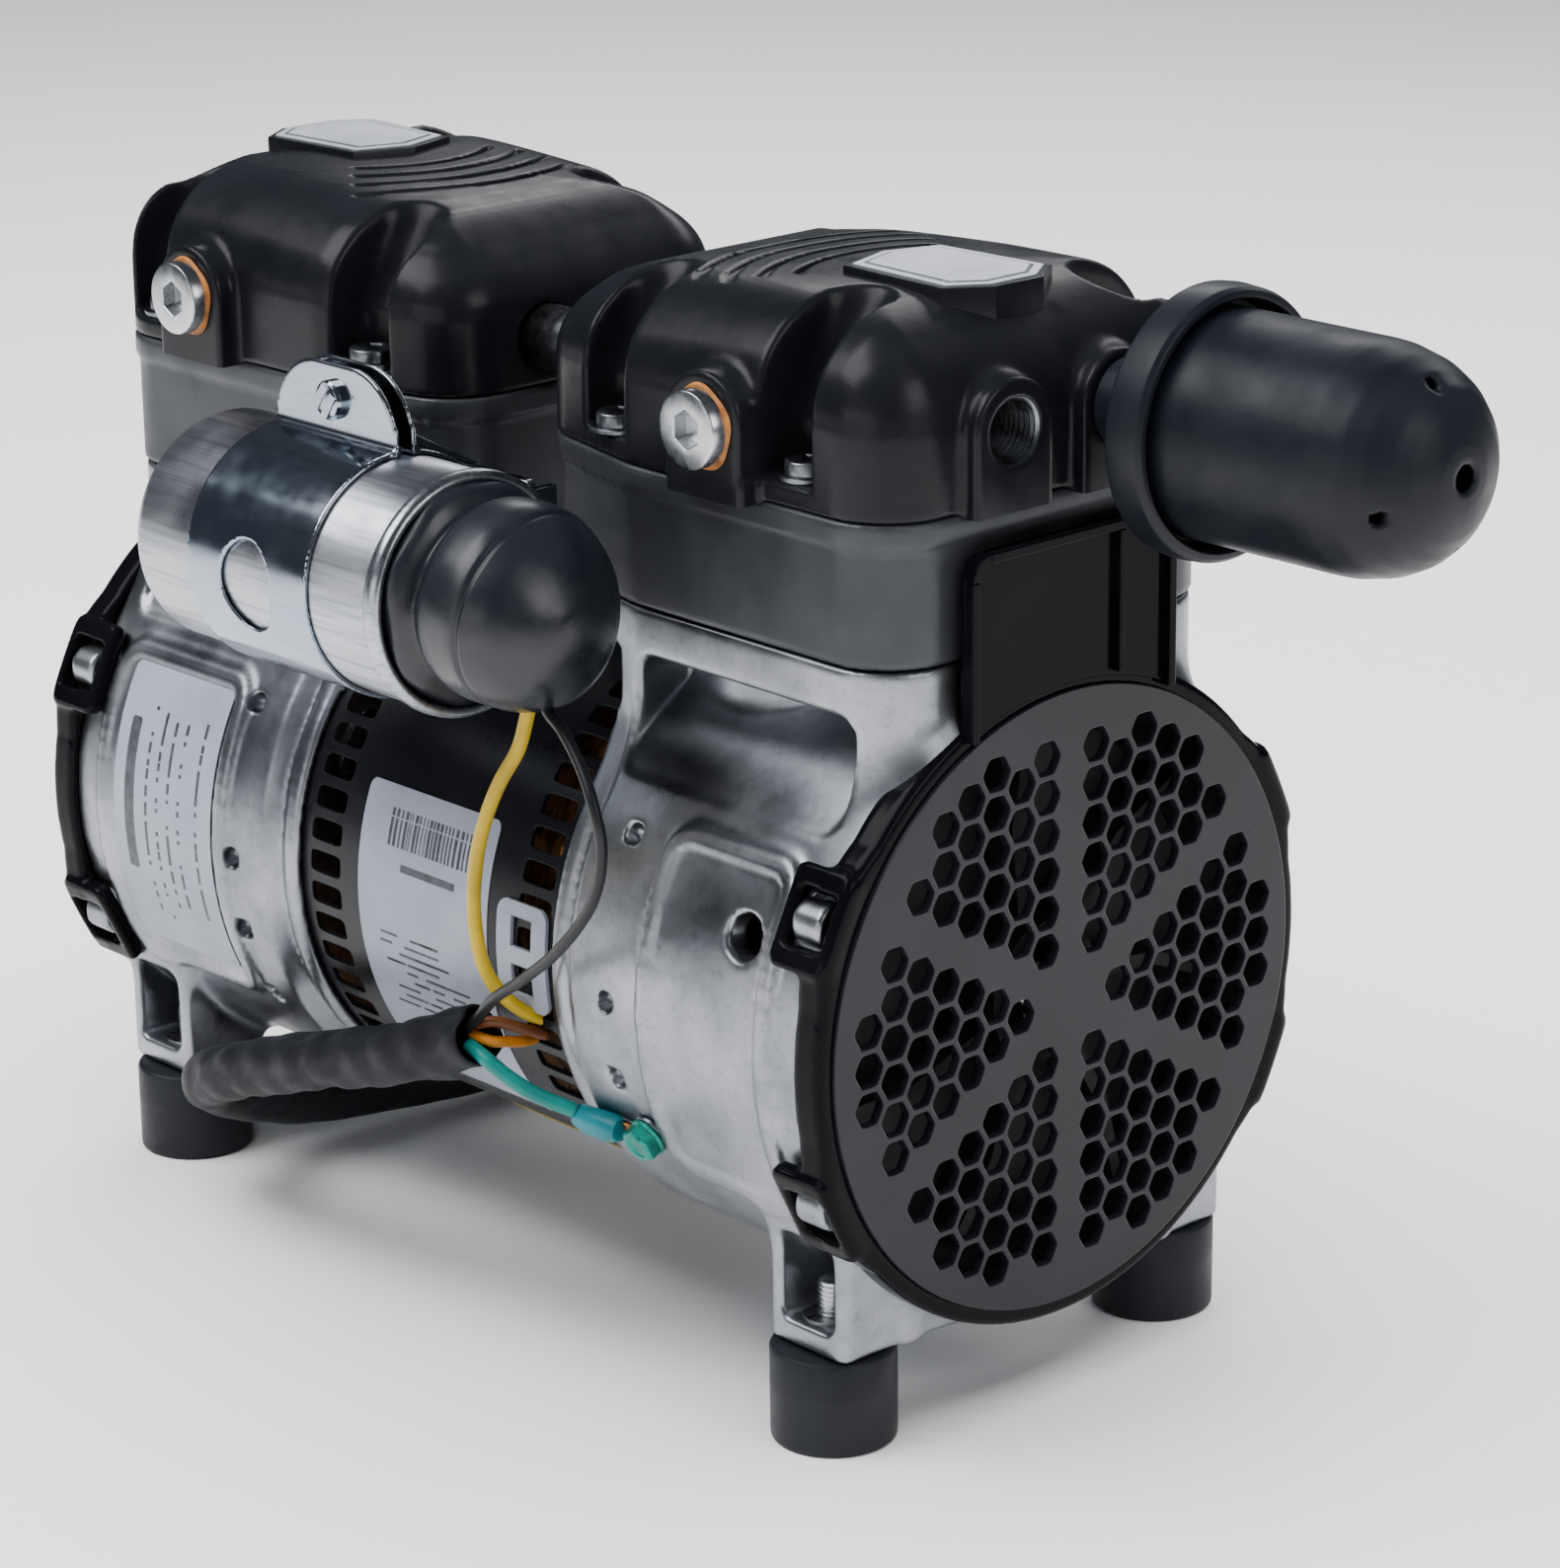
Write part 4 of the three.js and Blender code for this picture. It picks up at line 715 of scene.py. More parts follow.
def make_heads():
    field = Field((11, -54, 189.4), (131, 54, 231.5), 0.62)
    shoulder = smooth_path([(z, inset, 0) for z, inset in SHOULDER], 8)
    fall = smooth_path([(x, drop, 0) for x, drop in ROOF_DROP], 8)
    drop = np.interp(field.x, fall[:, 0], fall[:, 1]) * np.clip((field.z - 205) / 15, 0, 1)
    height = (field.z + drop).astype(np.float32)
    inset = np.interp(height, shoulder[:, 0], shoulder[:, 1]).astype(np.float32)
    slope = 1 / np.sqrt(1 + np.interp(height, [208, 212, 218, 224, 229], [0, 0.3, 0.9, 3, 16]) ** 2)
    outline = head_outline(field, 0.0)
    wall = (outline + inset) * slope.astype(np.float32)
    shell = rounded_meet(wall, np.abs(height - 209.9) - 19.3, 0.6)
    grooves = np.float32(1e3)
    spread = np.hypot(field.x - BADGE_AT[0], field.y - BADGE_AT[1])
    for radius in GROOVES:
        ring = np.maximum(np.abs(spread - radius) - 0.8, np.abs(field.y - BADGE_AT[1]) - 0.62 * radius)
        grooves = np.minimum(grooves, np.maximum(ring, field.x - BADGE_AT[0] + 8))
    shell = carved(shell, np.maximum(grooves, 227.5 - height), 0.5)
    body = joined(shell, boss_field(field), 2.2)
    slots = slot_field(field)
    body = carved(body, slots, 1.3)
    cavity = np.maximum(np.maximum(wall + HEAD_WALL, field.z - HEAD_CAVITY_TOP), 3.2 - slots)
    body = carved(body, cavity)
    for port in (PORT, MUFFLER):
        body = carved(body, field.cylinder("x", (port["y"], port["z"]), PORT_RADIUS, 100, 140), 0.6)
    for side, x in ((-1, SIDE_PORT["right_x"]), (1, SIDE_PORT["left_x"])):
        hole = field.cylinder("y", (x, SIDE_PORT["z"]), SIDE_PORT_RADIUS, side * 50 - 12, side * 50 + 12)
        body = carved(body, hole)
    for y in TUBE_SEAT["y"]:
        body = carved(body, field.cylinder("x", (y, TUBE_SEAT["z"]), TUBE_SEAT["radius"], 0, 18))
    field.values = body
    make_pair("head_casting", field, "black_paint", "black_paint", "head_cover")


# ------------------------------------------------------------------ swept, lofted and flat parts
def merged(parts):
    """Joins (vertices, faces) parts into one."""
    vertices, faces, start = [], [], 0
    for points, quads in parts:
        vertices.append(np.asarray(points, dtype=float))
        faces += [tuple(int(i) + start for i in face) for face in quads]
        start += len(points)
    return np.concatenate(vertices), faces


def lofted(rings, cap_start=True, cap_end=True):
    """Joins rings with equally many points."""
    count = len(rings[0])
    faces = []
    for row in range(len(rings) - 1):
        for i in range(count):
            j = (i + 1) % count
            faces.append((row * count + i, row * count + j, (row + 1) * count + j, (row + 1) * count + i))
    if cap_start:
        faces.append(tuple(reversed(range(count))))
    if cap_end:
        faces.append(tuple(range((len(rings) - 1) * count, len(rings) * count)))
    return np.concatenate([np.asarray(ring, dtype=float) for ring in rings]), faces


def smooth_path(points, steps=10):
    """Catmull-Rom curve through the points."""
    points = np.asarray(points, dtype=float)
    padded = np.concatenate([[2 * points[0] - points[1]], points, [2 * points[-1] - points[-2]]])
    t = np.linspace(0, 1, steps, endpoint=False)[:, None]
    out = []
    for a, b, c, d in zip(padded[:-3], padded[1:-2], padded[2:-1], padded[3:]):
        out.append(0.5 * (2 * b + (c - a) * t + (2 * a - 5 * b + 4 * c - d) * t ** 2
                          + (3 * b - a - 3 * c + d) * t ** 3))
    return np.concatenate(out + [points[-1:]])


def swept(path, stations, sides=24, wobble=None):
    """A tube along a path, by (distance, radius) stations; wobble(distance, angles) adds to the radius."""
    steps = np.linalg.norm(np.diff(path, axis=0), axis=1)
    along = np.concatenate([[0], np.cumsum(steps)])
    tangents = np.gradient(path, axis=0)
    tangents /= np.linalg.norm(tangents, axis=1)[:, None]
    side = np.cross(tangents[0], (0.3, 0.2, 0.93))
    sides_of = []
    for tangent in tangents:
        side = side - tangent * side.dot(tangent)
        side = side / np.linalg.norm(side)
        sides_of.append(side)
    sides_of = np.array(sides_of)
    angles = 2 * math.pi * np.arange(sides) / sides
    rings = []
    for distance, radius in stations:
        centre = np.array([np.interp(distance, along, path[:, k]) for k in range(3)])
        centre += tangents[0] * min(distance, 0)
        u = np.array([np.interp(distance, along, sides_of[:, k]) for k in range(3)])
        tangent = np.array([np.interp(distance, along, tangents[:, k]) for k in range(3)])
        u /= np.linalg.norm(u)
        v = np.cross(tangent, u)
        v /= np.linalg.norm(v)
        reach = radius + (wobble(distance, angles) if wobble else 0) * np.ones(sides)
        rings.append(centre + reach[:, None] * (np.cos(angles)[:, None] * u + np.sin(angles)[:, None] * v))
    return lofted(rings)


def path_length(path):
    return float(np.linalg.norm(np.diff(path, axis=0), axis=1).sum())


def wire_part(points, radius, sides=18):
    """A round wire with softly rounded ends."""
    path = smooth_path(points)
    length = path_length(path)
    inner = [(s, radius) for s in np.linspace(radius * 0.3, length - radius * 0.3, int(length / 0.8) + 2)]
    return swept(path, [(0, radius * 0.7)] + inner + [(length, radius * 0.7)], sides)


def block_part(x, y, z):
    corners = [(a, b, c) for a in x for b in y for c in z]
    faces = [(0, 1, 3, 2), (4, 6, 7, 5), (0, 4, 5, 1), (2, 3, 7, 6), (0, 2, 6, 4), (1, 5, 7, 3)]
    return np.array(corners), faces


def hexagon_ring(flats, height, count=48, round_off=0.0):
    """A hexagon as a ring of points at a height; round_off turns it towards its inner circle."""
    angles = 2 * math.pi * np.arange(count) / count
    reach = flats / 2 / np.cos((angles + math.pi / 6) % (math.pi / 3) - math.pi / 6)
    reach = np.minimum(reach, flats / 2 * (1.1547 - round_off))
    return np.stack([reach * np.cos(angles), reach * np.sin(angles), np.full(count, height)], axis=1)


def circle_ring(radius, height, count=48):
    angles = 2 * math.pi * np.arange(count) / count
    return np.stack([radius * np.cos(angles), radius * np.sin(angles), np.full(count, float(height))], axis=1)


def circle_stack(*sizes, count=48):
    """Circles on the Z axis, one for each (radius, height)."""
    return [circle_ring(radius, height, count) for radius, height in sizes]


def socket_head(base, radius, top, flats, floor):
    """A round head on the +Z axis from base to top, with a hexagon socket down to floor."""
    outside = circle_stack((radius, base), (radius, top - 0.7), (radius - 0.25, top - 0.25),
                           (radius - 0.8, top))
    socket = [hexagon_ring(flats + 0.5, top), hexagon_ring(flats, top - 0.3), hexagon_ring(flats, floor)]
    return lofted(outside + socket + circle_stack((0.2, floor - 0.3)))


def threaded_rod(radius, start, end, pitch=1.0, depth=0.35):
    """A rod on the +Z axis with ridges for its thread."""
    root = radius - depth
    sizes, z = [(root, start)], start
    while z + pitch <= end:
        sizes += [(root, z + pitch * 0.15), (radius, z + pitch * 0.4), (radius, z + pitch * 0.6),
                  (root, z + pitch * 0.85)]
        z += pitch
    return lofted(circle_stack(*sizes, (root, end), count=24))


def placed(part, turn=None, at=(0, 0, 0)):
    """Moves a part; turn is a 3x3 matrix."""
    vertices, faces = part
    if turn is not None:
        vertices = vertices @ np.array(turn, dtype=float).T
    return vertices + np.array(at, dtype=float), faces


def turn_about(axis, degrees):
    return np.array(Matrix.Rotation(math.radians(degrees), 3, axis))


def towards(axis, sign):
    """Turns a part built on the +Z axis to point along another axis."""
    return {"X": turn_about("Y", 90 * sign), "Y": turn_about("X", -90 * sign)}[axis]


def on_drum(part, angle):
    """Moves a part built over the shaft, with +Z outwards, round the shaft to an angle."""
    vertices, faces = part
    return vertices @ turn_about("X", angle - 90).T + (0, 0, SHAFT_Z), faces


def rear_of(part):
    """Turns a front part half round, to the rear."""
    vertices, faces = part
    return vertices * HALF_TURN, faces


ENDS = ((FRONT, placed), (REAR, rear_of))


def parts_piece(name, parts, material, bevel=0.0, **rest):
    """One piece from several parts, its sharp edges rounded by bevel millimetres."""
    piece = make_piece(name, *merged(parts), material, **rest)
    piece.data.set_sharp_from_angle(angle=math.radians(32))
    soften(piece, bevel)
    return piece


def flat_part(outlines, thickness, edge):
    """A plate in the XY plane from z = 0 up; outlines[0] is its rim and the others are holes."""
    curve = bpy.data.curves.new("outline", "CURVE")
    curve.dimensions, curve.fill_mode = "2D", "BOTH"
    curve.extrude, curve.bevel_depth = thickness / 2 - edge, edge
    curve.bevel_resolution, curve.offset = 1, -edge
    for outline in outlines:
        spline = curve.splines.new("POLY")
        spline.points.add(len(outline) - 1)
        for point, (x, y) in zip(spline.points, outline):
            point.co = (x, y, 0, 1)
        spline.use_cyclic_u = True
    holder = bpy.data.objects.new("outline", curve)
    bpy.context.scene.collection.objects.link(holder)
    mesh = bpy.data.meshes.new_from_object(holder.evaluated_get(bpy.context.evaluated_depsgraph_get()))
    vertices = np.array([tuple(v.co) for v in mesh.vertices]) + (0, 0, thickness / 2)
    faces = [tuple(p.vertices) for p in mesh.polygons]
    bpy.data.objects.remove(holder)
    bpy.data.curves.remove(curve)
    bpy.data.meshes.remove(mesh)
    return vertices, faces


CORNER_STEPS = 5


def rounded_rectangle(x0, x1, y0, y1, radius):
    points = []
    for cx, cy, start in ((x1 - radius, y1 - radius, 0), (x0 + radius, y1 - radius, 90),
                          (x0 + radius, y0 + radius, 180), (x1 - radius, y0 + radius, 270)):
        for k in range(CORNER_STEPS + 1):
            turn = math.radians(start + 90 * k / CORNER_STEPS)
            points.append((cx + radius * math.cos(turn), cy + radius * math.sin(turn)))
    return points


# ------------------------------------------------------------------ fan covers
GRILLE_PITCH, GRILLE_FLATS, GRILLE_REACH = 8.0, 6.7, 56.5
END_X = 127.85
FACE_TO_X = np.array([[0, 0, 1], [1, 0, 0], [0, 1, 0]])      # a plate's (x, y, z) becomes (y, z, x)


def grille_holes():
    """Hexagons in six sectors, on a triangular lattice left whole along three webs through the middle."""
    holes = []
    for column in range(-9, 10):
        for half in range(-15, 16):
            on_web = column == 0 or abs(half) == abs(column)
            u, v = column * GRILLE_PITCH * math.sqrt(3) / 2, half * GRILLE_PITCH / 2
            if (half + column) % 2 or on_web or math.hypot(u, v) > GRILLE_REACH:
                continue
            ring = hexagon_ring(GRILLE_FLATS, 0, 24, 0.045)
            holes.append([(u - y, v + x) for x, y, _ in ring])
    return holes


DUCT_FOOT = 146.0          # height where the duct's side ribs meet the disc
DUCT_X = (125.9, 129.5)    # back and face of the duct's ribs


def duct_outline():
    """The duct panel above the disc, its foot following the disc's edge."""
    foot = [round_shaft(a, 66.2) for a in np.linspace(116, 65, 12)]
    top = rounded_rectangle(-29, 28, 120, 183, 5)
    return foot + top[:2 * (CORNER_STEPS + 1)]


def disc_part():
    """The flat grille disc."""
    circle = [(x, y) for x, y, _ in circle_ring(64.6, 0, 128)]
    return placed(flat_part([circle] + grille_holes(), 2.2, 0.25), FACE_TO_X, (END_X - 2.2, 0, SHAFT_Z))


def duct_parts():
    """The duct's panel and the ribs that edge it, with their rounded top corners."""
    back, face = DUCT_X
    parts = [placed(flat_part([duct_outline()], 1.9, 0.4), FACE_TO_X, (back, 0, 0))]
    ribs = [((-29, -27), (DUCT_FOOT, 178)), ((26, 28), (DUCT_FOOT, 178)), ((-24, 23), (181, 183)),
            ((11.6, 13.4), (152, 181))]
    parts += [block_part(DUCT_X, y, z) for y, z in ribs]
    for centre, start in ((-24, 90), (23, 0)):
        arc = [np.array([(x, centre + r * math.cos(math.radians(a)), 178 + r * math.sin(math.radians(a)))
                         for x, r in ((back, 5), (face, 5), (face, 3), (back, 3))])
               for a in np.linspace(start, start + 90, 9)]
        parts.append(lofted(arc))
    return parts


RIM = {"x": 123.2, "half": 3.9, "reach": 68.2, "shoulder": 2.2, "hollow": 64.0}
CLIP = {"x": 119.3, "half": (7.6, 10.6), "out": 68.4, "thick": 1.9}
CLIP_WINDOW = {"x": 119.8, "half": (5.1, 5.9)}


def rim_field():
    """The cover's rim with its shoulders, and the four windowed clips reaching back over the drum."""
    field = Field((109.5, -74, 12), (129, 74, 160), 0.75)
    radius = shaft_radius(field)
    angle = np.degrees(np.arctan2(field.z - SHAFT_Z, field.y))
    reach = np.float32(RIM["reach"])
    for centre in CLIP_ANGLES:
        away = np.abs((angle - centre + 180) % 360 - 180)
        reach = np.maximum(reach, RIM["reach"] + RIM["shoulder"] * np.clip(1.6 - away / 9, 0, 1))
    ring = rounded_meet(radius - reach, np.abs(field.x - RIM["x"]) - RIM["half"], 1.6)
    rim = np.maximum(ring, RIM["hollow"] - radius)
    for centre in CLIP_ANGLES:
        turn = math.radians(centre)
        out = field.y * math.cos(turn) + (field.z - SHAFT_Z) * math.sin(turn)
        along = -field.y * math.sin(turn) + (field.z - SHAFT_Z) * math.cos(turn)
        flat, window = (rounded_meet(np.abs(field.x - shape["x"]) - shape["half"][0],
                                     np.abs(along) - shape["half"][1], corner)
                        for shape, corner in ((CLIP, 2.4), (CLIP_WINDOW, 0.8)))
        arm = rounded_meet(flat, np.abs(out - CLIP["out"]) - CLIP["thick"], 0.9)
        rim = carved(joined(rim, arm, 1.5), np.maximum(window, 60 - out), 0.7)
    field.values = np.maximum(rim, DRUM_RADIUS + 0.25 - radius - 4 * np.clip(field.x - DRUM_END, 0, 1))
    return field


def make_fan_covers():
    slot = "black_gloss_plastic"
    for end, turn in ENDS:
        parts_piece(f"{end}_grille", [turn(disc_part())], "gloss_plastic", bevel=0.35, slot=slot,
                    stands_for=f"{end}_fan_cover")
    for end, turn in ENDS:
        parts_piece(f"{end}_duct", [turn(part) for part in duct_parts()], "duct_gloss", bevel=0.35, slot=slot)
    make_pair("grille_rim", rim_field(), "duct_gloss", slot)


# ------------------------------------------------------------------ motor
SLOT_COUNT = 54            # slots round each end of the shell
SLOT_PITCH = 360 / SLOT_COUNT
SLOT_X = 34.5
SLOT_HALF_HEIGHT = 2.4
TILE_HALF = 7.0            # half the width of the band that holds the slots
TILE_STEPS = 6             # segments along each edge of a slot's tile


def square_ring(steps):
    """Points round the square from -1 to 1, counter-clockwise."""
    t = np.linspace(-1, 1, steps, endpoint=False)
    one = np.ones(steps)
    return np.concatenate([np.stack([t, -one], 1), np.stack([one, t], 1), np.stack([-t, one], 1),
                           np.stack([-one, -t], 1)])


def slot_tile(x_middle, angle):
    """One tile of the shell with a rounded slot in it, as (x, angle) points."""
    square = square_ring(TILE_STEPS)
    rounded = square / ((np.abs(square) ** 7).sum(1) ** (1 / 7))[:, None]
    half_angle = math.degrees(SLOT_HALF_HEIGHT / SHELL_RADIUS)
    outer = square * (TILE_HALF, SLOT_PITCH / 2) + (x_middle, angle)
    inner = rounded * (5.0, half_angle) + (x_middle, angle)
    count = len(square)
    faces = [(i, (i + 1) % count, count + (i + 1) % count, count + i) for i in range(count)]
    return np.concatenate([outer, inner]), faces


def make_motor_shell():
    tiles = [slot_tile(x, SLOT_PITCH * (i + 0.5)) for x in (-SLOT_X, SLOT_X) for i in range(SLOT_COUNT)]
    angles = np.arange(0, 360 + 0.01, SLOT_PITCH / TILE_STEPS)
    inner, outer = SLOT_X - TILE_HALF, SLOT_X + TILE_HALF
    for x0, x1 in ((-SHELL_HALF, -outer), (-inner, inner), (outer, SHELL_HALF)):
        xs = np.linspace(x0, x1, 5)
        grid = np.array([(x, a) for x in xs for a in angles])
        n = len(angles)
        faces = [(r * n + i, (r + 1) * n + i, (r + 1) * n + i + 1, r * n + i + 1)
                 for r in range(4) for i in range(n - 1)]
        tiles.append((grid, faces))
    flat, faces = merged(tiles)
    turn = np.radians(flat[:, 1])
    points = np.stack([flat[:, 0], SHELL_RADIUS * np.cos(turn), SHAFT_Z + SHELL_RADIUS * np.sin(turn)], 1)
    shell = make_piece("motor_wrap", points, faces, "black_paint", stands_for="motor_shell",
                       slot="black_paint")
    weld(shell)
    wall = shell.modifiers.new("wall", "SOLIDIFY")
    wall.thickness = 1.2 * MM
    wall.offset = -1
    soften(shell, 0.22)


def curved_sheet(x, angle, radius, corner=2.0, thickness=0.15, windows=(), step=1.5):
    """A sheet wrapped on the motor or drum, as a closed part; x, angle and its windows are (low, high)."""
    per_mm = math.degrees(1 / radius)
    near = corner * per_mm
    rows = set(np.linspace(angle[0] + near, angle[1] - near, max(2, int((angle[1] - angle[0]) / step))))
    for k in range(6):
        drop = near * (1 - math.sin(math.pi / 2 * k / 6))
        rows |= {angle[0] + drop, angle[1] - drop}
    for window in windows:
        rows |= set(window[1])
    columns = sorted({x[0], x[1]} | {edge for window in windows for edge in window[0]})
    rows = sorted(rows)
    points, faces, count = [], [], len(columns)
    for a in rows:
        depth = min(a - angle[0], angle[1] - a) / per_mm
        inset = corner - math.sqrt(max(corner ** 2 - max(corner - depth, 0) ** 2, 0))
        line = [columns[0] + inset] + columns[1:-1] + [columns[-1] - inset]
        turn = math.radians(a)
        for level in (radius, radius + thickness):
            points += [(u, level * math.cos(turn), SHAFT_Z + level * math.sin(turn)) for u in line]
    for r in range(len(rows) - 1):
        for c in range(count - 1):
            middle = ((columns[c] + columns[c + 1]) / 2, (rows[r] + rows[r + 1]) / 2)
            if any(w[0][0] < middle[0] < w[0][1] and w[1][0] < middle[1] < w[1][1] for w in windows):
                continue
            low = r * 2 * count + c
            high = low + 2 * count
            faces.append((low, low + 1, high + 1, high))
            faces.append((low + count, high + count, high + count + 1, low + count + 1))
    return close_rims(points, faces, count)


def close_rims(points, faces, count):
    """Adds the side walls between a sheet's lower and upper layers; layers are count points apart."""
    lower = [face for k, face in enumerate(faces) if k % 2 == 0]
    seen = {edge: None for face in lower for edge in zip(face, face[1:] + face[:1])}
    walls = [(b, a, a + count, b + count) for a, b in seen if (b, a) not in seen]
    return np.array(points), faces + walls


def make_labels():
    random = np.random.default_rng(7)
    parts_piece("motor_label", [curved_sheet((-23, 20), (156, 224), SHELL_RADIUS + 0.02)], "label")
    print_at = SHELL_RADIUS + 0.12
    marks, x = [], -14.0
    while x < 13:
        width = float(random.choice([0.35, 0.55, 0.9]))
        marks.append(curved_sheet((x, x + width), (160.5, 168), print_at, 0.05, FILM, step=2))
        x += width + float(random.choice([0.4, 0.6, 0.8]))
    for row in range(9):
        start = 186 + row * 2.0
        for _ in range(4):
            u, reach = float(random.uniform(-17, 6)), float(random.uniform(3, 8))
            marks.append(curved_sheet((u, u + reach), (start, start + 0.6), print_at, 0.05, FILM, step=2))
    marks.append(curved_sheet((-9, 9), (171, 172.6), print_at, 0.3, FILM))
    parts_piece("motor_label_print", marks, "ink")
    film = DRUM_RADIUS + 0.95
    parts_piece("drum_label", [curved_sheet((-104.5, -68.5), (149.5, 206.5), film)], "label")
    marks = [curved_sheet((-100.5, -97), (160, 190), film + 0.1, 0.8, FILM, step=2)]
    for x in (-93, -89, -85, -81, -74.5):
        angle = 156 + float(random.uniform(0, 3))
        while angle < 196:
            reach = float(random.uniform(2, 7))
            marks.append(curved_sheet((x, x + 1.0), (angle, angle + reach), film + 0.1, 0.1, FILM, step=2))
            angle += reach + 1.2
    parts_piece("drum_label_print", marks, "ink")
    plate = curved_sheet((24, 39.5), (169.5, 191), SHELL_RADIUS + 0.05, 3.2, 0.9,
                         windows=[((28.5, 35), (172.5, 178.5)), ((28.5, 35), (182, 188))])
    parts_piece("slot_plate", [plate], "label", bevel=0.2)


# ------------------------------------------------------------------ muffler and feet
# x and radius along the dome, from its mouth to its tip
DOME_PROFILE = [(150, 22.6), (191, 22.5), (194, 22.3), (200.5, 20.9), (205, 18.8), (208.5, 16.0),
                (211.5, 12.0), (213.4, 7.0), (214.2, 0.5), (216, -6)]
LIMB_HOLE = {"angles": (96, 8, 288, 200), "reach": 16.6, "radius": 1.25}
MUFFLER_BORE, TIP_HOLE = 20, 2.6


def make_muffler():
    axis = (MUFFLER["y"], MUFFLER["z"])
    collar = [[4, 116], [6, 116], [6, 129], [9, 129.2], [9.4, 147.6], [10, 148], [25.6, 148], [26.6, 149],
              [26.9, 152], [26.6, 156.4], [25.8, 157.4], [24.6, 157.6], [24.0, 156.8], [23.8, 151], [4, 151],
              [4, 116]]
    turned_piece("muffler_collar", collar, "muffler_plastic", 96, "x", axis, bevel=0.3,
                 stands_for="muffler_base", slot="moulded_plastic")
    field = Field((150.5, -24, -24), (215.5, 24, 24), 0.75)
    radius = np.hypot(field.y, field.z)
    profile_x, profile_r = zip(*DOME_PROFILE)
    slope = 1 / np.sqrt(1 + np.interp(field.x, [191, 200, 205, 210, 214], [0, 0.3, 0.65, 1.3, 4]) ** 2)
    outer = (radius - np.interp(field.x, profile_x, profile_r)) * slope
    outer = rounded_meet(outer, 151.3 - field.x, 0.6).astype(np.float32)
    inner = np.maximum(radius - MUFFLER_BORE, field.x - 196)
    cap = carved(outer, np.minimum(inner, np.maximum(outer + 2.4, 190 - field.x)))
    cap = carved(cap, np.maximum(radius - TIP_HOLE, 200 - field.x), 0.7)
    for angle in LIMB_HOLE["angles"]:
        turn = math.radians(angle)
        y, z = LIMB_HOLE["reach"] * math.cos(turn), LIMB_HOLE["reach"] * math.sin(turn)
        hole = np.maximum(np.hypot(field.y - y, field.z - z) - LIMB_HOLE["radius"], 198 - field.x)
        cap = carved(cap, hole, 0.3)
    field.values = cap
    vertices, faces = surface_of(field)
    make_piece("muffler_dome", vertices + (0, *axis), faces, "muffler_plastic", stands_for="muffler_cap",
               slot="moulded_plastic")


def make_feet():
    profile = [[0, 0], [12.2, 0], [12.8, 0.5], [12.9, 1.2], [12.9, 12.0], [12.95, 12.3], [12.9, 12.6],
               [12.9, 19.4], [12.5, 20.1], [11.9, 20.3], [4, 20.3]]
    for end, sx in ((FRONT, 1), (REAR, -1)):
        for side, sy in (("right", -1), ("left", 1)):
            at = (sx * FOOT["x"], sy * FOOT["y"])
            turned_piece(f"{end}_{side}_rubber_foot", profile, "foot_rubber", 72, "z", at,
                         stands_for=f"{end}_{side}_foot", slot="rubber")
            stud = placed(threaded_rod(3.1, 20, 33.5), at=(*at, 0))
            plate = placed(lofted(circle_stack((6.2, 25.5), (6.2, 26.4), (3.0, 26.5))), at=(*at, 0))
            parts_piece(f"{end}_{side}_foot_stud", [stud, plate], "steel", slot="steel")


# ------------------------------------------------------------------ capacitor
def make_capacitor():
    r = CAN["radius"]
    start, end = CAN["start"], CAN["end"]
    profile = [[0, start + 1.2], [r - 5, start + 1.2], [r - 4, start + 0.2], [r - 2.2, start],
               [r - 0.6, start + 0.7], [r, start + 2.4], [r, end - 5.2], [r - 0.5, end - 4.6],
               [r - 0.5, end - 4.0], [r + 0.4, end - 3.3], [r + 0.9, end - 2.2], [r + 0.8, end - 0.5],
               [r, end + 0.5], [r - 1, end + 0.6], [r - 1.5, end], [r - 1.6, end - 1.5], [0, end - 1.5]]
    turned_piece("capacitor_case", profile, "can", 128, "x", (CAN["y"], CAN["z"]),
                 stands_for="capacitor_can", slot="drawn_aluminium")
    make_strap()
    make_bracket()
    make_boot()


STRAP = {"x": (-23.5, 15.5), "screw": (-4.4, 32.8), "ear_top": 40.3, "corner": 14.0, "radius": 24.9,
         "half_thick": 0.5, "ears_y": (-0.5, 3.7), "hole": 8.2, "screw_hole": 2.3}


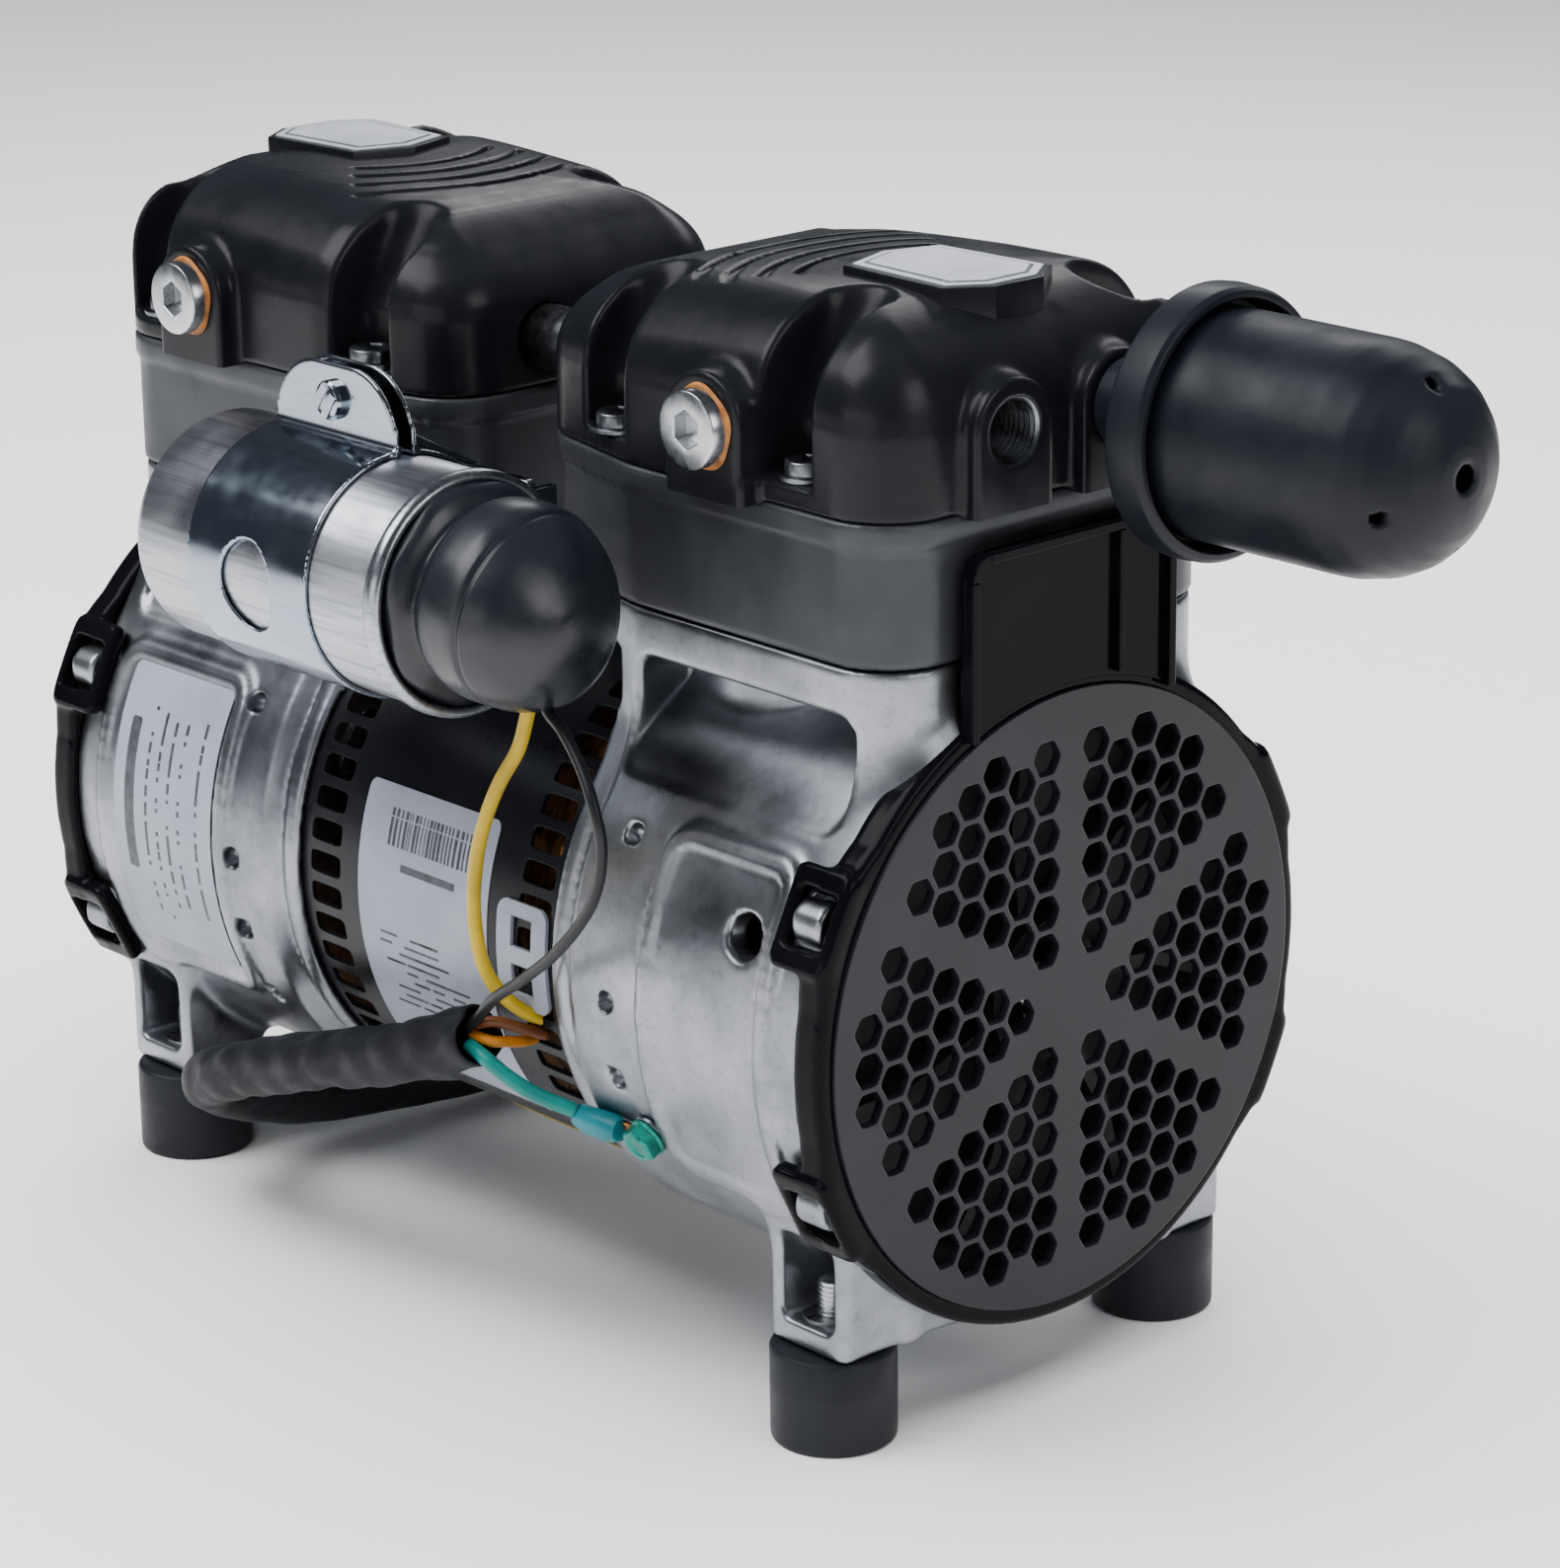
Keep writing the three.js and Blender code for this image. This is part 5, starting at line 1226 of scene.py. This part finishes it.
def make_strap():
    field = Field((-25, -28, -28), (17, 28, 42), 0.42)
    radius = np.hypot(field.y, field.z)
    (x0, x1), (screw_x, screw_z) = STRAP["x"], STRAP["screw"]
    half = STRAP["half_thick"]
    along = np.abs(field.x - (x0 + x1) / 2) - (x1 - x0) / 2
    band = np.maximum(np.abs(radius - STRAP["radius"]) - half, along)
    band = carved(band, field.box((-40, 40), (-0.2, 3.4), (15, 40)))
    hole = np.hypot(field.x - screw_x, (field.z + 1.5) / 1.15) - STRAP["hole"]
    band = carved(band, np.maximum(hole, field.y + 10), 0.4)
    sheet = field.box((x0, x1), (-90, 90), (18, STRAP["ear_top"]), STRAP["corner"])
    square = field.box((x0, x1), (-90, 90), (18, 30), 0.4)
    ear = np.maximum(np.minimum(sheet, square), 24.6 - radius)
    near, far = (np.maximum(ear, np.abs(field.y - y) - half) for y in STRAP["ears_y"])
    ears = np.minimum(near, far)
    ears = carved(ears, field.cylinder("y", (screw_x, screw_z), STRAP["screw_hole"], -10, 10))
    strap = np.maximum(joined(band, ears, 1.6), 24.35 - radius)
    field.values = strap.astype(np.float32)
    vertices, faces = surface_of(field)
    at = (0, CAN["y"], CAN["z"])
    make_piece("strap_band", vertices + at, faces, "zinc", stands_for="capacitor_strap", slot="zinc_plate")
    head = lofted(circle_stack((4.1, 0), (4.1, 1.2), (3.6, 1.9), (2.2, 2.35)))
    nut = lofted([hexagon_ring(7, 0), hexagon_ring(7, 2.6), circle_ring(3.1, 2.9)])
    shank = lofted(circle_stack((1.9, 0), (1.9, 12.6), count=24))
    cheeks = [placed(block_part((-2.9, 2.9), (low, low + 1.9), (1.7, 2.5)), turn_about("Z", 55))
              for low in (-2.5, 0.6)]
    screw = [placed(part, towards("Y", -1), (screw_x, -1.0, screw_z)) for part in [head] + cheeks]
    screw += [placed(shank, towards("Y", 1), (screw_x, -1.2, screw_z)),
              placed(nut, towards("Y", 1), (screw_x, 6.5, screw_z))]
    parts_piece("strap_bolt", [placed(part, at=at) for part in screw], "zinc", bevel=0.15,
                stands_for="strap_screw", slot="zinc_plate")


BRACKET_ARM = [(4.3, 38), (4.3, 27), (25.8, 15), (25.8, 2), (27.8, 2), (27.8, 16.3), (6.3, 28.2), (6.3, 38)]


def make_bracket():
    """Folded sheet from behind the strap's ears over the can to both cylinder blocks."""
    arm = placed(flat_part([BRACKET_ARM], 20, 0.35), FACE_TO_X, (-14, 0, 0))
    plate = flat_part([rounded_rectangle(-24, 24, 2, 16, 1.5)], 2, 0.35)
    plate = placed(plate, towards("Y", -1), (0, 27.8, 0))
    flanges = [block_part((x, x + 2), (25.8, 33.2), (4, 14)) for x in (-24, 22)]
    parts = [placed(part, at=(0, CAN["y"], CAN["z"])) for part in [arm, plate] + flanges]
    parts_piece("strap_bracket", parts, "zinc", bevel=0.3, stands_for="capacitor_bracket", slot="zinc_plate")


def make_boot():
    """Soft rubber cap in the can's rim: a fold round its base, then a blunt nose with a seam across it."""
    sections = [[35.2, 1.0, 21.4], [37.2, 1.0, 22.0], [39.0, 1.0, 21.0], [40.8, 1.0, 18.4],
                [42.2, 1.0, 18.2], [44.2, 0.9, 19.9], [47.0, 0.8, 20.6], [51.0, 0.8, 20.7],
                [54.5, 0.6, 20.5], [57.5, 0.2, 19.6], [61.5, -0.4, 17.4], [64.6, -1.0, 14.2],
                [67.2, -1.4, 10.2], [69.0, -1.6, 6.0], [69.6, -1.6, 3.0], [69.8, -1.6, 0.4]]
    angles = 2 * math.pi * np.arange(120) / 120
    rings = []
    for x, lift, radius in smooth_path(sections, 12):
        fold = max(0, 1 - abs(x - 41.5) / 5)
        lip = max(0, 1 - abs(x - 37.5) / 3)
        seam = -0.6 * np.exp(-((x - 55.0 - 2.4 * np.sin(angles - 0.5)) / 0.45) ** 2)
        wave = (0.4 * lip * np.sin(7 * angles + 0.6) + 0.5 * fold * np.sin(2 * angles + 0.8)
                - 0.5 * fold * np.maximum(0, np.sin(5 * angles + 0.3 * x)) ** 2
                + 0.25 * min(1, radius / 20) * np.sin(3 * angles + 0.08 * x) + seam)
        reach = np.maximum(radius + wave * min(1, radius / 9), 0.3)
        sag = 2.4 * lip * np.maximum(0, -np.sin(angles)) ** 2
        rings.append(np.stack([x - 2.5 * lip * np.maximum(0, -np.sin(angles)) ** 3,
                               CAN["y"] + reach * np.cos(angles),
                               CAN["z"] + lift + (reach + sag) * np.sin(angles)], 1))
    vertices, faces = lofted(rings)
    make_piece("terminal_boot", vertices, faces, "boot_rubber", stands_for="capacitor_boot", slot="rubber")


# ------------------------------------------------------------------ wiring
WIRES = {                  # radius, material, slot and path
    "yellow_wire": (1.5, "yellow", "yellow_insulation", [
        [53.6, -76, 148.6], [52.6, -76, 145.2], [50.2, -76.5, 138], [45.6, -78, 129.9], [41, -78.4, 120.5],
        [36.2, -77, 110], [32.8, -75, 98], [31.4, -72, 87], [32, -68, 79.5], [33.2, -62.5, 74.2],
        [34.6, -57.5, 71.6]]),
    "black_wire": (1.2, "black_wire", "black_insulation", [
        [58.4, -76.8, 150.2], [60.9, -77, 147.6], [65, -77.3, 145.2], [72.2, -79, 139.9], [78.2, -81, 133.4],
        [79, -80, 124], [73.5, -78.2, 112], [62, -77, 99.4], [48, -75, 88.8], [37, -73.6, 81.4],
        [30.6, -72.6, 75.6], [26.5, -72.9, 71.5]]),
    "orange_wire": (1.2, "orange", "orange_insulation", [
        [26, -71.6, 70.0], [31.4, -70.6, 69.6], [32.4, -67.8, 69], [32.4, -63, 67.8], [31.2, -58.4, 67]]),
    "link_wire": (1.1, "yellow", "yellow_insulation", [
        [-33, -14.6, 30.4], [-32, -15.8, 26.4], [-28, -16.4, 24.8], [-20, -16.5, 24.6], [0, -16.5, 24.6],
        [20, -16.5, 24.6], [28, -16.4, 24.8], [32, -15.8, 26.4], [33, -14.6, 30.4]]),
    "green_wire": (1.6, "green", "green_insulation", [
        [27, -73.2, 68.4], [32.9, -73.4, 67], [34.9, -72.8, 65.8], [38, -71.4, 63.6], [43, -68.6, 60.6],
        [49.5, -63.2, 57.2]]),
}
BROWN_PATH = [[26, -71.2, 71.8], [30.5, -69.6, 73.4], [32, -67.4, 72.8], [33.4, -63.5, 71], [34.4, -58, 68.3]]


def make_wires():
    for name, (radius, material, slot, points) in WIRES.items():
        make_piece(f"{name}_strand", *wire_part(points, radius), material, stands_for=name, slot=slot)
    make_piece("brown_wire_strand", *wire_part(BROWN_PATH, 1.2), "brown")


def make_ground():
    seat = DRUM_RADIUS + 0.15
    x = GROUND["x"]
    ring = lofted(circle_stack((2.2, seat), (4.5, seat), (4.5, seat + 0.8), (2.2, seat + 0.8)), False, False)
    tongue = block_part((60, x - 3.4), (-1.9, 1.9), (seat, seat + 0.8))
    plate = [placed(ring, at=(x, 0, 0)), tongue]
    parts_piece("ring_terminal", [on_drum(part, GROUND["angle"]) for part in plate], "zinc", bevel=0.15,
                stands_for="ground_terminal", slot="zinc_plate")
    strands = [wire_part([[57, y, seat + 1.4], [60.5, y, seat + 1.3], [63.6, y * 0.9, seat + 1.1]], 0.35, 8)
               for y in (-0.8, -0.2, 0.4, 1.0)]
    parts_piece("bare_strands", [on_drum(part, GROUND["angle"]) for part in strands], "copper")
    path = smooth_path([[48.6, 0, seat + 2.8], [54, 0, seat + 2.8], [61.5, 0, seat + 2.3]])
    stations = [(0, 1.8), (0.6, 2.5), (3.5, 3.0), (9.5, 3.1), (11.5, 2.8), (12.6, 2.4), (12.9, 1.6)]
    shrink = swept(path, stations, 28, lambda distance, angles: 0.12 * np.sin(3 * angles + distance))
    parts_piece("shrink_tube", [on_drum(shrink, GROUND["angle"])], "shrink")
    flange = lofted(circle_stack((4.3, seat + 0.9), (4.5, seat + 1.5), (4.0, seat + 2.0)))
    head = lofted([hexagon_ring(7.3, seat + 1.2), hexagon_ring(7.3, seat + 4.4)]
                  + circle_stack((3.3, seat + 5.0), (2.6, seat + 4.8), (2.3, seat + 4.4)))
    screw = [on_drum(placed(part, at=(x, 0, 0)), GROUND["angle"]) for part in (flange, head)]
    parts_piece("earth_screw", screw, "green_zinc", bevel=0.2, stands_for="ground_screw", slot="green_steel")


LEAD_ROUTE = [
    [29.6, -72.2, 70.9], [22, -72.8, 67.4], [8, -73.4, 61.6], [-8, -74, 56], [-25, -74.2, 50.2],
    [-42, -74, 44.3], [-57, -73, 38.6], [-69, -69.6, 33], [-77.4, -63, 27], [-81.6, -53, 21],
    [-82.4, -40, 16], [-81.6, -24, 12.8], [-80.4, -6, 11], [-79.2, 14, 9.4], [-78, 34, 7.8],
    [-76, 54, 6.6], [-70, 72, 6.2], [-57, 88, 6.2], [-38, 98, 6.2], [-16, 101, 6.2], [4, 100, 6.2],
    [22, 97, 6.2]]
LEAD_RADIUS = 6.0


def sleeve_wrinkles(distance, angles):
    """Creases of a slack sleeve, dying away where it rests on the floor."""
    slack = max(0.25, 1 - distance / 230)
    crease = np.maximum(0, np.sin(2 * angles + 0.21 * distance)) ** 4
    return slack * (0.28 * np.sin(3 * angles + 0.11 * distance) - 0.75 * crease
                    + 0.22 * np.sin(0.55 * distance + 2 * np.sin(angles))) + 0.6 * slack


def make_lead():
    path = smooth_path(LEAD_ROUTE, 12)
    length = path_length(path)
    mouth = [(12, 0.5), (12, 4.9), (1.0, 5.1), (0.1, 5.3), (0.0, 5.7), (0.6, 6.0)]
    run = [(s, LEAD_RADIUS) for s in np.linspace(1.6, length - 1.2, int(length / 1.3))]
    vertices, faces = swept(path, mouth + run + [(length - 0.4, 5.8), (length, 5.4)], 32, sleeve_wrinkles)
    vertices[:, 2] = np.maximum(vertices[:, 2], 0.05)
    sleeve = make_piece("lead_sleeving", vertices, faces, "sleeving", stands_for="lead_sleeve",
                        slot="sleeving")
    collar_path = smooth_path([[22.0, 97.0, 6.2], [26, 96.3, 6.2], [30.5, 95.4, 6.2]])
    collar = swept(collar_path, [(0, 5.0), (0.5, 5.5), (4, 5.5), (8.2, 5.3), (8.7, 4.6)], 32)
    tails, bare = [collar], []
    for side in (-1, 0, 1):
        points = [[28, 96 + 2.6 * side, 6], [35, 94.8 + 3.4 * side, 4.6], [44, 93.2 + 4.8 * side, 2.0],
                  [50.5, 91.9 + 6.0 * side, 1.6]]
        tails.append(wire_part(points, 1.4))
        bare.append(wire_part([points[-1], [53, 91.5 + 6.5 * side, 1.5], [56, 91 + 7 * side, 1.5]], 0.8))
    ends = parts_piece("lead_tails", tails, "black_wire", stands_for="lead_end_wires", slot="sleeving")
    tips = parts_piece("lead_tips", bare, "copper")


# ------------------------------------------------------------------ plugs, screws and badges
PLUG_X, PLUG_Y = 128.6, 52        # faces of the ports that the plugs close


def plug_parts():
    head = socket_head(0.3, 7.9, 4.2, 6.6, 0.8)
    return [head, threaded_rod(5.1, -6, 0.3, 1.4, 0.5)]


def sealant_ring():
    rings = circle_stack((5.2, -0.4), (8.0, -0.4), (8.55, 0.2), (8.2, 1.0), (7.0, 1.1))
    vertices, faces = lofted(rings, False, False)
    wave = 1 + 0.035 * np.sin(5 * np.arctan2(vertices[:, 1], vertices[:, 0]))
    vertices[:, :2] *= wave[:, None]
    return vertices, faces


def make_plugs():
    right_x, left_x, z = SIDE_PORT["right_x"], SIDE_PORT["left_x"], SIDE_PORT["z"]
    places = {
        "front_right_plug": (towards("Y", -1), (right_x, -PLUG_Y, z)),
        "front_left_plug": (towards("Y", 1), (left_x, PLUG_Y, z)),
        "rear_right_plug": (towards("Y", -1), (-left_x, -PLUG_Y, z)),
        "rear_left_plug": (towards("Y", 1), (-right_x, PLUG_Y, z)),
        "rear_inlet_plug": (towards("X", -1), (-PLUG_X, -PORT["y"], PORT["z"])),
        "rear_outlet_plug": (towards("X", -1), (-PLUG_X, -MUFFLER["y"], MUFFLER["z"])),
    }
    for name, (turn, at) in places.items():
        parts_piece(f"{name}_socket", [placed(part, turn, at) for part in plug_parts()], "steel", bevel=0.2,
                    stands_for=name, slot="steel")
        parts_piece(f"{name}_sealant", [placed(sealant_ring(), turn, at)], "sealant")


def make_transfer_tubes():
    """The two pipes that join the front and the rear head."""
    for name in ("inlet_transfer_tube", "outlet_transfer_tube"):
        low, high = ((np.array(corner) - np.array(ORIGIN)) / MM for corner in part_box(name))
        r = (high[2] - low[2]) / 2
        profile = [[0, low[0]], [r - 0.6, low[0]], [r, low[0] + 0.6], [r, high[0] - 0.6], [r - 0.6, high[0]],
                   [0, high[0]]]
        turned_piece(f"{name}_pipe", profile, "dark_steel", 64, "x", tuple((low[1:] + high[1:]) / 2),
                     stands_for=name, slot="steel")


def make_port_thread():
    """Ridges of the thread inside the open port; their dark steel colour is painted shade of the hole on what
    is bright machined metal.
    """
    rings, x = [], 112.0
    while x < 127.5:
        rings += [[6.75, x], [6.15, x + 0.55], [6.15, x + 0.75], [6.75, x + 1.3]]
        x += 1.35
    vertices, faces = turned(rings, 48, "x", (PORT["y"], PORT["z"]))
    make_piece("port_thread", vertices, faces, "dark_steel", slot="steel")


def make_head_screws():
    """A socket screw on a washer at the floor of each slot."""
    washer = lofted(circle_stack((6.2, 195.0), (6.2, 196.0), (4.0, 196.2)))
    head = socket_head(196.0, 4.9, 199.0, 4.6, 197.2)
    for end, sign in ((FRONT, 1), (REAR, -1)):
        parts = []
        for side, places in HEAD_SCREWS.items():
            for x in places:
                at = (sign * x, sign * side * 40.2, 0)
                parts += [placed(washer, at=at), placed(head, at=at)]
        parts_piece(f"{end}_head_screws", parts, "dark_steel", bevel=0.2, slot="steel")


BADGE_OUTLINE = [(81, -13.5), (110, -15), (116, -6.5), (116, 6.5), (110, 15), (81, 13.5), (76.5, 0)]


BADGE_LEVELS = [           # name, inset from the outline, foot, height and material
    ("plate", 0.0, 220.0, 10.5, "black_paint"), ("face", 1.5, 230.4, 0.45, "badge"),
    ("band", 3.2, 230.8, 0.12, "ink"), ("field", 4.0, 230.85, 0.2, "badge"),
]


def make_badges():
    outer = [(x, y + BADGE_AT[1]) for x, y in BADGE_OUTLINE]
    for end, turn in ENDS:
        for name, inset, low, height, material in BADGE_LEVELS:
            outline = inset_polygon(outer, inset) if inset else outer
            part = placed(flat_part([outline], height, min(0.3, height / 3)), at=(0, 0, low))
            parts_piece(f"{end}_badge_{name}", [turn(part)], material)


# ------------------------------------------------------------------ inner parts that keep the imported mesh
KEPT = {
    "steel": ["stator_core", "motor_shaft", "rotor"]
             + [f"{end}_{part}" for end in (FRONT, REAR) for part in
                ("main_bearing", "eccentric", "cylinder_liner", "valve_plate", "inlet_reed", "outlet_reed")],
    "cast_aluminium": [f"{end}_connecting_rod" for end in (FRONT, REAR)],
    "copper": [f"{end}_winding" for end in (FRONT, REAR)],
    "cup": [f"{end}_piston_cup" for end in (FRONT, REAR)],
    "fan_plastic": [f"{end}_fan" for end in (FRONT, REAR)],
}


def dress_kept():
    for material, names in KEPT.items():
        for name in names:
            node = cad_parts[name]
            node.data.materials.clear()
            node.data.materials.append(MATERIALS[material])


# ------------------------------------------------------------------ build
make_camera()
make_studio()
make_lead()
make_crankcases()
make_blocks()
make_heads()
make_fan_covers()
make_motor_shell()
make_labels()
make_muffler()
make_feet()
make_capacitor()
make_wires()
make_ground()
make_plugs()
make_transfer_tubes()
make_port_thread()
make_head_screws()
make_badges()
dress_kept()
